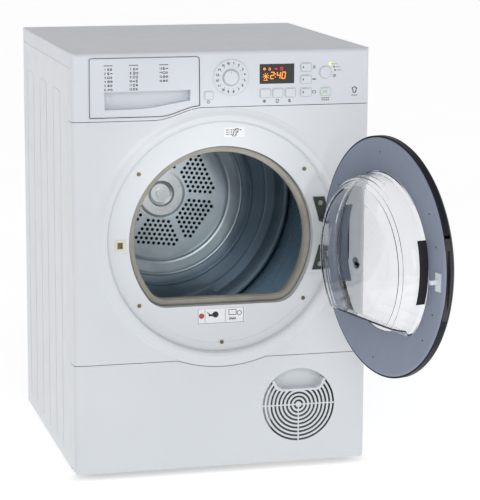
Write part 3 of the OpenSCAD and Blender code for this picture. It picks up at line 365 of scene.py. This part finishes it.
WHITE = (0.655, 0.685, 0.71)
finish = {
    "white_paint": enamel("white_paint", WHITE),
    "white_plastic": plastic("white_plastic", (0.655, 0.685, 0.725), 0.32, 0.42, 0.012, 1600.0, 0.00002,
                             coat=0.15),
    "zinc_sheet": zinc("zinc_sheet", (0.55, 0.58, 0.60)),
    "drum_steel": drum_sheet("drum_steel", (0.23, 0.32, 0.38)),
    "bright_steel": steel("bright_steel", (0.78, 0.82, 0.83), 0.3, 0.42, (30.0, 900.0, 900.0), 0.7),
    "lifter_plastic": plastic("lifter_plastic", (0.16, 0.19, 0.21), 0.4, 0.55),
    "dark_plastic": plastic("dark_plastic", (0.028, 0.029, 0.032), 0.45, 0.62, 0.08, 900.0, 0.00006),
    "charcoal_plastic": plastic("charcoal_plastic", (0.007, 0.008, 0.013), 0.34, 0.48, 0.05, 1200.0,
                                0.00004, spec=0.22),
    "blue_grey_plastic": plastic("blue_grey_plastic", (0.225, 0.26, 0.34), 0.42, 0.56, 0.03, 1100.0,
                                 0.00006),
    "clear_bowl": clear("clear_bowl", (0.985, 0.99, 1.0)),
    "display_glass": plastic("display_glass", (0.006, 0.005, 0.006), 0.08, 0.16, 0.1, 300.0, 0.00001,
                             coat=0.6),
    "circuit_board": plastic("circuit_board", (0.02, 0.13, 0.06), 0.4, 0.6, 0.15, 300.0, 0.0001),
    "tank_plastic": plastic("tank_plastic", (0.66, 0.72, 0.75), 0.25, 0.4, 0.03),
    "grey_plastic": plastic("grey_plastic", (0.16, 0.17, 0.18), 0.42, 0.58, 0.06),
    "gasket_rubber": rubber("gasket_rubber", (0.34, 0.325, 0.28)),
    "felt": felt("felt", (0.42, 0.38, 0.31)),
    "cream_plastic": plastic("cream_plastic", (0.66, 0.62, 0.48), 0.35, 0.5, 0.04),
    "hinge_metal": steel("hinge_metal", (0.055, 0.07, 0.062), 0.38, 0.55, (500.0, 500.0, 40.0), 0.6),
    "black_screw": steel("black_screw", (0.02, 0.02, 0.022), 0.35, 0.5, (600.0, 600.0, 600.0), 0.3),
    "motor_metal": plastic("motor_metal", (0.12, 0.125, 0.13), 0.45, 0.6, 0.1, 500.0, 0.0001),
    "heater_metal": steel("heater_metal", (0.20, 0.13, 0.10), 0.35, 0.5),
    "condenser_aluminium": steel("condenser_aluminium", (0.62, 0.63, 0.64), 0.3, 0.45,
                                 (900.0, 40.0, 900.0)),
    "belt_rubber": rubber("belt_rubber", (0.02, 0.02, 0.021), 2000.0),
}
SLOT_NODES = {
    "white_paint": "left_side_panel right_side_panel front_panel plinth_panel",
    "white_plastic": "worktop control_panel dial_plate programme_knob power_button row_button_1"
                     " row_button_2 row_button_3 side_button_1 side_button_2 side_button_3"
                     " eco_button start_button"
                     " container_front door_hook",
    "zinc_sheet": "rear_panel rear_duct_cover front_bulkhead",
    "drum_steel": "drum_shell drum_rear_wall",
    "bright_steel": "drum_hub front_fasteners motor_rotor",
    "lifter_plastic": "drum_lifters",
    "dark_plastic": "base_tray door_grip air_ducts condensate_drain foot_front_left foot_front_right"
                    " foot_rear_left foot_rear_right",
    "charcoal_plastic": "door_outer_frame",
    "blue_grey_plastic": "door_inner_frame",
    "clear_bowl": "door_bowl door_outer_pane",
    "display_glass": "display_window",
    "circuit_board": "display_board",
    "tank_plastic": "container_tank",
    "grey_plastic": "container_guide left_roller right_roller idler_pulley fan_wheels condenser_frame"
                    " lint_filter",
    "gasket_rubber": "door_gasket",
    "felt": "felt_seals",
    "cream_plastic": "strike_plate",
    "hinge_metal": "hinge_brackets hinge_leaf",
    "black_screw": "door_screws",
    "motor_metal": "motor_body",
    "heater_metal": "heater_coil",
    "condenser_aluminium": "condenser_core",
    "belt_rubber": "drum_belt",
}
back_wall = drum_back("drum_back", (0.70, 0.80, 0.85))
duct = lined_sheet("lined_sheet")
screws = fastener("fasteners")
dressed = set()
for slot_name, names in SLOT_NODES.items():
    for name in names.split():
        ob = cad[name]
        ob.data.materials.clear()
        ob.data.materials.append(finish[slot_name])
        dressed.add(name)
cad["drum_rear_wall"].data.materials[0] = back_wall
cad["front_fasteners"].data.materials[0] = screws
# the rear panel and duct cover get the painted shade on their drum side
for name in ("rear_panel", "rear_duct_cover"):
    cad[name].data.materials[0] = duct
if set(cad) - dressed:
    raise SystemExit("no finish for " + str(sorted(set(cad) - dressed)))

ink = plastic("panel_ink", (0.018, 0.019, 0.022), 0.5, 0.65, 0.08, 900.0, 0.00001)
soft_ink = plastic("soft_ink", (0.30, 0.31, 0.33), 0.45, 0.6, 0.06, 900.0, 0.00001)
label_white = plastic("label_film", (0.80, 0.81, 0.83), 0.2, 0.3, 0.02, 500.0, 0.00001, 0.3)
label_red = plastic("label_red", (0.42, 0.06, 0.05), 0.3, 0.45, 0.1, 700.0, 0.00001)
leaf_green = plastic("leaf_green", (0.30, 0.62, 0.16), 0.35, 0.5, 0.08, 700.0, 0.00001)
amber = glowing("amber_light", (1.0, 0.30, 0.015), 1.1)
red_light = glowing("red_light", (0.8, 0.015, 0.02), 0.8)
yellow_light = glowing("yellow_light", (1.0, 0.72, 0.10), 2.0)
dots_dark = plastic("rim_pocket", (0.010, 0.010, 0.013), 0.5, 0.7, 0.3, 260.0, 0.0006)

# ---------------------------------------------------------------- small printed and lit pieces


class Print:
    """Flat marks in a plane facing the front, gathered as closed polygons of (x, z) in millimetres."""

    def __init__(self):
        self.shapes = []

    def poly(self, pts):
        self.shapes.append([(float(x), float(z)) for x, z in pts])

    def box(self, x0, z0, x1, z1, r=0.0):
        if r <= 0:
            self.poly([(x0, z0), (x1, z0), (x1, z1), (x0, z1)])
            return
        pts = []
        for cx, cz, a0 in ((x1 - r, z0 + r, -90), (x1 - r, z1 - r, 0), (x0 + r, z1 - r, 90),
                           (x0 + r, z0 + r, 180)):
            for i in range(6):
                a = math.radians(a0 + 18 * i)
                pts.append((cx + r * math.cos(a), cz + r * math.sin(a)))
        self.poly(pts)

    def disc(self, x, z, r, n=20):
        self.poly([(x + r * math.cos(2 * math.pi * i / n), z + r * math.sin(2 * math.pi * i / n))
                   for i in range(n)])

    def arc(self, x, z, r, w, a0=0.0, a1=360.0, n=28):
        for i in range(n):
            b0 = math.radians(a0 + (a1 - a0) * i / n)
            b1 = math.radians(a0 + (a1 - a0) * (i + 1) / n)
            self.poly([(x + (r - w / 2) * math.cos(b0), z + (r - w / 2) * math.sin(b0)),
                       (x + (r + w / 2) * math.cos(b0), z + (r + w / 2) * math.sin(b0)),
                       (x + (r + w / 2) * math.cos(b1), z + (r + w / 2) * math.sin(b1)),
                       (x + (r - w / 2) * math.cos(b1), z + (r - w / 2) * math.sin(b1))])

    def line(self, x0, z0, x1, z1, w):
        d = math.hypot(x1 - x0, z1 - z0) or 1.0
        nx, nz = -(z1 - z0) / d * w / 2, (x1 - x0) / d * w / 2
        self.poly([(x0 - nx, z0 - nz), (x1 - nx, z1 - nz), (x1 + nx, z1 + nz), (x0 + nx, z0 + nz)])

    def path(self, pts, w):
        for (x0, z0), (x1, z1) in zip(pts, pts[1:]):
            self.line(x0, z0, x1, z1, w)

    STROKES = {
        "0": [[(0, 0), (1, 0), (1, 2), (0, 2), (0, 0)]], "1": [[(0.2, 1.6), (0.6, 2), (0.6, 0)]],
        "2": [[(0, 2), (1, 2), (1, 1), (0, 1), (0, 0), (1, 0)]],
        "3": [[(0, 2), (1, 2), (1, 0), (0, 0)], [(0.2, 1), (1, 1)]],
        "4": [[(0, 2), (0, 1), (1, 1)], [(1, 2), (1, 0)]],
        "5": [[(1, 2), (0, 2), (0, 1), (1, 1), (1, 0), (0, 0)]],
        "6": [[(1, 2), (0, 2), (0, 0), (1, 0), (1, 1), (0, 1)]], "7": [[(0, 2), (1, 2), (0.4, 0)]],
        "8": [[(0, 0), (1, 0), (1, 2), (0, 2), (0, 0)], [(0, 1), (1, 1)]],
        "9": [[(0, 0), (1, 0), (1, 2), (0, 2), (0, 1), (1, 1)]],
    }

    def number(self, text, x, z, h, w, turn=0.0, lean=0.0):
        """Stroke figures centred on (x, z), h high, turned by an angle in degrees."""
        step = h * 0.78
        c, s = math.cos(math.radians(turn)), math.sin(math.radians(turn))
        for k, ch in enumerate(text):
            ox = (k - (len(text) - 1) / 2) * step
            for stroke in self.STROKES[ch]:
                pts = []
                for px, pz in stroke:
                    u = ox + (px - 0.5) * h * 0.5 + (pz - 1) * h * 0.5 * lean
                    v = (pz - 1) * h * 0.5
                    pts.append((x + u * c - v * s, z + u * s + v * c))
                self.path(pts, w)

    def build(self, name, y, body, material, thick=0.05):
        bm = bmesh.new()
        for k, pts in enumerate(self.shapes):
            area = sum(a[0] * b[1] - b[0] * a[1] for a, b in zip(pts, pts[1:] + pts[:1]))
            if area < 0:
                pts = pts[::-1]
            off = thick + 0.0004 * (k % 40)
            front = [bm.verts.new((x * MM, (y - off) * MM, z * MM)) for x, z in pts]
            back = [bm.verts.new((x * MM, (y + 0.03) * MM, z * MM)) for x, z in pts]
            bm.faces.new(front)
            bm.faces.new(back[::-1])
            for i in range(len(pts)):
                j = (i + 1) % len(pts)
                bm.faces.new((front[j], front[i], back[i], back[j]))
        return finish_piece(bm, name, body, material)


def finish_piece(bm, name, body, material, smooth=False):
    mesh = bpy.data.meshes.new(name)
    bmesh.ops.recalc_face_normals(bm, faces=bm.faces[:])
    bm.to_mesh(mesh)
    bm.free()
    ob = bpy.data.objects.new(name, mesh)
    scene.collection.objects.link(ob)
    mesh.materials.append(material)
    if smooth:
        for p in mesh.polygons:
            p.use_smooth = True
    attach(ob, body)
    return ob


def face_y(node, x, z):
    """Y in millimetres of the node's surface as seen from the front at (x, z)."""
    hit, at, _, _ = cad[node].ray_cast(Vector((x * MM, -2.0, z * MM)), Vector((0, 1, 0)))
    if not hit:
        raise SystemExit("nothing of %s at %s %s" % (node, x, z))
    return at.y / MM


def pictogram(p, kind, x, z, s, w):
    """A small generic sign, s across, centred on (x, z)."""
    k = s / 2
    if kind == "shirt":
        p.path([(x - k, z + k * 0.5), (x - k * 0.4, z + k), (x + k * 0.4, z + k), (x + k, z + k * 0.5),
                (x + k * 0.6, z + k * 0.1), (x + k * 0.5, z - k), (x - k * 0.5, z - k),
                (x - k * 0.6, z + k * 0.1), (x - k, z + k * 0.5)], w)
    elif kind == "drop":
        p.arc(x, z - k * 0.3, k * 0.6, w, 150, 390, 14)
        p.path([(x - k * 0.52, z), (x, z + k), (x + k * 0.52, z)], w)
    elif kind == "ring":
        p.arc(x, z, k * 0.8, w)
    elif kind == "sun":
        p.arc(x, z, k * 0.45, w, 0, 360, 14)
        for i in range(8):
            a = math.pi / 4 * i
            p.line(x + k * 0.65 * math.cos(a), z + k * 0.65 * math.sin(a), x + k * math.cos(a),
                   z + k * math.sin(a), w)
    elif kind == "bars":
        for i in range(3):
            level = z + k * (0.7 - 0.7 * i)
            p.line(x - k, level, x + k * (0.9 - 0.4 * (i % 2)), level, w)
    elif kind == "clock":
        p.arc(x, z, k * 0.85, w)
        p.path([(x, z + k * 0.55), (x, z), (x + k * 0.4, z)], w)
    elif kind == "power":
        p.arc(x, z, k * 0.8, w, 120, 420, 20)
        p.line(x, z + k * 1.1, x, z + k * 0.2, w)
    elif kind == "hour":
        p.path([(x - k * 0.6, z + k), (x + k * 0.6, z + k), (x - k * 0.6, z - k), (x + k * 0.6, z - k),
                (x - k * 0.6, z + k)], w)
    elif kind == "moon":
        p.arc(x, z, k * 0.85, w, 60, 330, 18)
        p.arc(x + k * 0.35, z + k * 0.3, k * 0.6, w, 100, 300, 12)
    elif kind == "leaf":
        p.path([(x - k, z - k * 0.5), (x - k * 0.2, z + k * 0.5), (x + k, z + k * 0.6),
                (x + k * 0.5, z - k * 0.4), (x - k * 0.6, z - k * 0.4)], w)
    elif kind == "box":
        p.path([(x - k, z - k * 0.7), (x + k, z - k * 0.7), (x + k, z + k * 0.7), (x - k, z + k * 0.7),
                (x - k, z - k * 0.7)], w)
    elif kind == "wave":
        p.path([(x - k + i * k / 4, z + (k * 0.35 if i % 2 else -k * 0.35)) for i in range(9)], w)


KINDS = ["shirt", "ring", "drop", "sun", "box", "bars", "wave", "hour", "leaf", "clock", "moon"]

# programme list on the water container's front
y_front = face_y("container_front", -226.0, 800.0)
listing = Print()
number = 1
for col_x, rows, pitch in ((-234.0, 6, 7.8), (-184.0, 6, 7.8), (-124.5, 4, 8.0)):
    for i in range(6):
        listing.line(col_x - 2.5 + i * 3.0, 824.8, col_x - 0.4 + i * 3.0, 824.8, 2.0)
    for row in range(rows):
        z = 817.4 - row * pitch
        listing.number(str(number), col_x, z, 3.6, 1.0)
        pictogram(listing, KINDS[(number * 5) % len(KINDS)], col_x + 6.8, z, 4.8, 1.1)
        pictogram(listing, KINDS[(number * 7 + 3) % len(KINDS)], col_x + 12.4, z, 4.4, 1.05)
        number += 1
listing.build("programme_list", y_front, "container", ink)

# figures and signs round the dial, on the fixed disc
dial_x, dial_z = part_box("programme_knob")[0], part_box("programme_knob")[1]
knob_x = (dial_x.x + dial_z.x) / 2 / MM
knob_z = (dial_x.z + dial_z.z) / 2 / MM
y_dial = face_y("dial_plate", knob_x + 27.0, knob_z)


def tray_at(x):
    """Height of the stepped lower edge of the water container's front at x."""
    t = min(1.0, max(0.0, (x + 128.0) / 84.0))
    return 724.5 + 19.5 * t * t * (3.0 - 2.0 * t)


def gap_outline(g):
    """Outline of the water container's front, grown by g."""
    low_left = (-264.5 - g, tray_at(-264.0) - g)
    step = [(x, tray_at(x) - g) for x in range(-128, -50, 7)]
    right = [(-47.5 + g, tray_at(-47.0) - g), (-48.5 + g, 833.0 + g), (-49.7 + g, 837.0 + g)]
    high_left = (-264.5 - g, 835.0 + g)
    top = [(-54.0 + g, 838.7 + g), (-259.5 - g, 838.7 + g), (-263.2 - g, 837.6 + g)]
    return [high_left, low_left] + step + right + top + [high_left]


def cap_outline(node, grow=0.5, corner=3.2):
    """Outline of a push button's cap, grown a little; the start button is round."""
    lo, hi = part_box(node)
    x0, x1, z0, z1 = lo.x / MM, hi.x / MM, lo.z / MM, hi.z / MM
    r = (x1 - x0) / 2 + grow if node == "start_button" else corner
    pts = []
    for cx, cz, sx, sz, a0 in ((x1, z0, 1, -1, -90), (x1, z1, 1, 1, 0), (x0, z1, -1, 1, 90),
                               (x0, z0, -1, -1, 180)):
        for i in range(7):
            a = math.radians(a0 + 15 * i)
            pts.append((cx + sx * (grow - r) + r * math.cos(a), cz + sz * (grow - r) + r * math.sin(a)))
    return pts + pts[:1]


# painted shadow: dark lines printed round the water container's front and round each push button, in place
# of the shade in their gaps
gap = Print()
gap.path(gap_outline(0.6), 1.1)
gap.build("container_gap_shadow", y_dial, "cabinet", ink, 0.04)
# painted shadow round each push button's cap
caps = Print()
for node in ("row_button_1", "row_button_2", "row_button_3", "side_button_1", "side_button_2",
             "side_button_3", "eco_button", "power_button", "start_button"):
    caps.path(cap_outline(node), 0.6)
y_cap = face_y("control_panel", 60.0, 750.0)
caps.build("button_gap_shadows", y_cap, "cabinet", soft_ink, 0.03)

ring = Print()
for i in range(16):
    a = math.radians(78.75 - 22.5 * i)
    ring.number(str(i + 1), knob_x + 28.3 * math.cos(a), knob_z + 28.3 * math.sin(a), 4.1, 1.15)
    ring.line(knob_x + 22.3 * math.cos(a), knob_z + 22.3 * math.sin(a), knob_x + 23.9 * math.cos(a),
              knob_z + 23.9 * math.sin(a), 0.9)
ring.build("dial_figures", y_dial, "cabinet", ink)
rim = Print()
rim.arc(knob_x, knob_z, 16.6, 1.0, 0, 360, 72)
rim.arc(knob_x, knob_z, 34.6, 0.6, 0, 360, 96)
rim.build("dial_circle", y_dial, "cabinet", soft_ink)
y_knob = face_y("programme_knob", knob_x + 6.0, knob_z + 6.0)
mark = Print()
mark.box(knob_x - 0.6, knob_z + 8.2, knob_x + 0.6, knob_z + 12.6, 0.55)
mark.build("knob_mark", y_knob, "knob", soft_ink)

# signs beside the buttons
y_panel = face_y("control_panel", 60.0, 750.0)
signs = Print()
pictogram(signs, "power", -29.4, 750.0, 6.6, 1.1)
for x, kind in ((84.0, "sun"), (110.0, "shirt"), (135.5, "moon")):
    pictogram(signs, kind, x, 748.6, 6.6, 1.2)
for z, kind in ((814.0, "drop"), (790.0, "wave"), (764.5, "box")):
    pictogram(signs, kind, 185.2, z, 6.4, 1.05)
pictogram(signs, "clock", 226.6, 796.0, 6.4, 1.0)
for i, z in enumerate((819.4, 813.5, 807.0)):
    x = (221.0, 226.0, 228.0)[i]
    for k in range(4 - (i == 0)):
        signs.line(x + 3.6 + 2.5 * k, z - 0.9, x + 5.2 + 2.5 * k, z + 0.9 * (1 if k % 2 else 0.3), 0.8)
for k in range(4):
    signs.box(200.5 + 4.2 * k, 751.0, 203.5 + 4.2 * k, 753.0)
    signs.box(200.5 + 4.2 * k, 747.2, 203.5 + 4.2 * k, 749.0)
signs.build("panel_signs", y_panel, "cabinet", ink)
badge = Print()
pictogram(badge, "shirt", 268.5, 767.0, 10.5, 1.9)
for k in range(3):
    badge.box(262.3 + 4.6 * k, 755.4, 265.6 + 4.6 * k, 757.0)
badge.build("load_sign", y_panel, "cabinet", ink)

# small marks on the caps
for i, z in enumerate((814.0, 790.0, 764.5)):
    node = "side_button_%d" % (i + 1)
    lo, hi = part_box(node)
    cx, cz = (lo.x + hi.x) / 2 / MM, (lo.z + hi.z) / 2 / MM
    cap = Print()
    cap.box(cx - 6.6, cz - 2.1, cx - 4.6, cz + 2.1, 0.4)
    cap.build("side_mark_%d" % (i + 1), face_y(node, cx - 4.6, cz), node + "_cap", ink)
lo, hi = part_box("eco_button")
cx, cz = (lo.x + hi.x) / 2 / MM, (lo.z + hi.z) / 2 / MM
arrows = Print()
for k in (0, 1):
    tail = cx - 5.4 + 4.6 * k
    arrows.path([(tail, cz + 3.2), (tail + 4.0, cz), (tail, cz - 3.2)], 1.5)
arrows.line(cx - 5.6, cz, cx + 1.0, cz, 1.2)
arrows.build("eco_sign", face_y("eco_button", cx, cz), "eco_button_cap", leaf_green)

# lit display
y_glass = face_y("display_window", 109.0, 802.0)
lit = Print()
for text, x in (("2", 99.4), ("4", 112.4), ("0", 122.6)):
    lit.number(text, x, 799.0, 12.6, 1.7, 0.0, 0.12)
lit.box(105.1, 801.2, 106.9, 803.0)
lit.box(104.6, 795.0, 106.4, 796.8)
lit.disc(86.4, 797.6, 2.9)
for i in range(8):
    a = math.pi / 4 * i + 0.2
    lit.line(86.4 + 3.8 * math.cos(a), 797.6 + 3.8 * math.sin(a), 86.4 + 6.6 * math.cos(a),
             797.6 + 6.6 * math.sin(a), 1.1)
lit.box(81.6, 789.3, 90.4, 790.3)
for x, kind in ((83.5, "sun"), (94.0, "drop")):
    pictogram(lit, kind, x, 812.0, 5.6, 1.0)
lit.build("display_figures", y_glass, "cabinet", amber)
lit = Print()
for x, kind in ((107.0, "wave"), (118.5, "shirt")):
    pictogram(lit, kind, x, 812.0, 5.6, 1.2)
lit.build("display_signs", y_glass, "cabinet", red_light)
led = Print()
led.box(215.6, 817.4, 221.8, 821.6, 1.6)
led.build("lit_lamp", y_panel, "cabinet", yellow_light, 0.35)

# dotted strip beside the bowl on the door's free side, drawn closed and swung open
door_joint = next(j for j in frame["joints"] if j["name"] == "door_swing")
HINGE = Vector((*door_joint["pos_m"][:2], 0.0)) / MM
DOOR_Z = 480.0
SWING = Matrix.Rotation(-math.radians(door_joint["range_deg"][0]), 4, "Z")


def swung(x, y, z):
    return (SWING @ (Vector((x, y, z)) - HINGE) + HINGE) * MM


def pocket_strip(inner_r=170.05, outer_r=170.5, dot_h=0.28, half_angle=20.5, y0=-300.5, depth=18.5):
    """Thin curved strip with rows of raised dots on its outer side."""
    bm = bmesh.new()
    rows, cols = 14, 56
    grid = {}
    for layer, base_r in ((0, inner_r), (1, outer_r)):
        for i in range(cols + 1):
            a = math.radians(half_angle * (2.0 * i / cols - 1.0))
            for j in range(rows + 1):
                dot = dot_h if layer and (i % 4 in (1, 2)) and (j % 4 in (1, 2)) else 0.0
                rr = base_r + dot
                grid[layer, i, j] = bm.verts.new(swung(-rr * math.cos(a), y0 + depth * j / rows,
                                                       DOOR_Z + rr * math.sin(a)))
    for i in range(cols):
        for j in range(rows):
            bm.faces.new((grid[0, i, j], grid[0, i, j + 1], grid[0, i + 1, j + 1], grid[0, i + 1, j]))
            bm.faces.new((grid[1, i, j], grid[1, i + 1, j], grid[1, i + 1, j + 1], grid[1, i, j + 1]))
    for i in range(cols):
        for j in (0, rows):
            bm.faces.new((grid[0, i, j], grid[0, i + 1, j], grid[1, i + 1, j], grid[1, i, j]))
    for j in range(rows):
        for i in (0, cols):
            bm.faces.new((grid[0, i, j], grid[1, i, j], grid[1, i, j + 1], grid[0, i, j + 1]))
    return finish_piece(bm, "door_vent_strip", "door", dots_dark)


pocket_strip()


def hinge_side_sleeve(inner_r=172.3, outer_r=173.1, half_angle=26.0, y0=-329.2, y1=-308.2):
    """Band that closes the gap between the two frames where the window meets the hinge."""
    bm = bmesh.new()
    cols = 40
    ends = []
    for i in range(cols + 1):
        a = math.radians(half_angle * (2.0 * i / cols - 1.0))
        pts = [swung(rr * math.cos(a), y, DOOR_Z + rr * math.sin(a))
               for rr, y in ((inner_r, y0), (inner_r, y1), (outer_r, y1), (outer_r, y0))]
        ends.append([bm.verts.new(q) for q in pts])
    for a, b in zip(ends, ends[1:]):
        for k in range(4):
            bm.faces.new((a[k], a[(k + 1) % 4], b[(k + 1) % 4], b[k]))
    bm.faces.new(ends[0][::-1])
    bm.faces.new(ends[-1])
    return finish_piece(bm, "window_sleeve", "door", finish["blue_grey_plastic"], True)


hinge_side_sleeve()

# plain labels in the dish
y_low = face_y("front_panel", -2.0, 321.0)
plate = Print()
plate.box(-50.0, 304.5, 46.0, 337.5, 3.0)
plate.build("lower_label", y_low, "cabinet", label_white, 0.12)
art = Print()
art.path([(-48.5, 306), (44.5, 306), (44.5, 336), (-48.5, 336), (-48.5, 306)], 0.8)
art.disc(-13.0, 323.5, 6.3)
art.box(-27.0, 320.4, -12.0, 324.6)
art.path([(-30, 329), (-22, 322), (-10, 318)], 1.6)
pictogram(art, "box", 22.0, 327.0, 15.0, 1.2)
pictogram(art, "wave", 22.0, 314.0, 14.0, 1.2)
pictogram(art, "ring", 36.0, 325.0, 11.0, 1.2)
art.line(7.0, 308.0, 7.0, 334.0, 0.7)
art.line(-34.5, 308.0, -34.5, 334.0, 0.7)
art.build("lower_label_art", y_low - 0.13, "cabinet", ink, 0.04)
dot = Print()
dot.disc(-41.5, 321.5, 5.6)
dot.build("lower_label_dot", y_low - 0.13, "cabinet", label_red, 0.05)
y_up = face_y("front_panel", 25.0, 688.5)
plate = Print()
plate.box(4.0, 679.0, 45.0, 698.0, 1.5)
plate.build("upper_label", y_up, "cabinet", label_white, 0.12)
art = Print()
for row in range(3):
    for k in range(7 - row):
        art.box(7.5 + 4.6 * k, 692.2 - 4.4 * row, 10.6 + 4.6 * k - (k % 2), 694.2 - 4.4 * row)
art.path([(20, 681), (26, 695.5), (33, 695.5), (27, 681), (20, 681)], 1.2)
art.build("upper_label_art", y_up - 0.13, "cabinet", ink, 0.04)

# ---------------------------------------------------------------- stage and light


def make_floor():
    bm = bmesh.new()
    bmesh.ops.create_grid(bm, x_segments=8, y_segments=8, size=30.0)
    mesh = bpy.data.meshes.new("floor")
    bm.to_mesh(mesh)
    bm.free()
    ob = bpy.data.objects.new("floor", mesh)
    scene.collection.objects.link(ob)
    n = Nodes("floor_finish")
    n.put(Specular_IOR_Level=0.05, Emission_Strength=0.50, Emission_Color=(1.0, 1.0, 1.0, 1.0))
    n.color(n.ramp(n.noise(0.6, 3.0), [(0.3, (0.90, 0.90, 0.90)), (0.7, (0.92, 0.92, 0.92))]))
    n.rough(n.ramp(n.noise(5.0, 3.0), [(0.3, 0.7), (0.7, 0.8)]))
    mesh.materials.append(n.mat)


def area(name, place, target, size, power, color=(1, 1, 1)):
    data = bpy.data.lights.new(name, "AREA")
    data.shape = "RECTANGLE"
    data.size, data.size_y = size
    data.energy = power
    data.color = color
    ob = bpy.data.objects.new(name, data)
    scene.collection.objects.link(ob)
    ob.location = place
    ob.rotation_euler = (Vector(target) - Vector(place)).to_track_quat("-Z", "Y").to_euler()


def make_light():
    world = bpy.data.worlds.new("studio")
    scene.world = world
    world.use_nodes = True
    t = world.node_tree
    bg = t.nodes["Background"]
    coord = t.nodes.new("ShaderNodeTexCoord")
    sep = t.nodes.new("ShaderNodeSeparateXYZ")
    ramp = t.nodes.new("ShaderNodeValToRGB")
    ramp.color_ramp.elements[0].position = 0.0
    ramp.color_ramp.elements[0].color = (0.80, 0.805, 0.81, 1)
    ramp.color_ramp.elements[1].position = 1.0
    ramp.color_ramp.elements[1].color = (0.42, 0.415, 0.43, 1)
    t.links.new(coord.outputs["Generated"], sep.inputs[0])
    t.links.new(sep.outputs[2], ramp.inputs[0])
    t.links.new(ramp.outputs[0], bg.inputs["Color"])
    bg.inputs["Strength"].default_value = 0.95
    area("key", (-1.1, -4.2, 2.4), (0.0, -0.3, 0.5), (1.8, 1.8), 35.0)
    area("fill", (2.6, -3.8, 1.2), (0.1, -0.2, 0.3), (1.6, 1.6), 14.0, (0.96, 0.98, 1.0))
    lamp = bpy.data.lights.new("drum_spot", "SPOT")
    lamp.energy = 105.0
    lamp.spot_size = math.radians(8.0)
    lamp.spot_blend = 0.6
    lamp.shadow_soft_size = 0.12
    ob = bpy.data.objects.new("drum_spot", lamp)
    scene.collection.objects.link(ob)
    ob.location = (0.16, -3.1, 0.92)
    ob.rotation_euler = (Vector((-0.02, 0.25, 0.51)) - ob.location).to_track_quat("-Z", "Y").to_euler()


make_floor()
make_light()
scene.view_settings.view_transform = "Standard"
scene.view_settings.look = "None"
scene.view_settings.exposure = 0.0
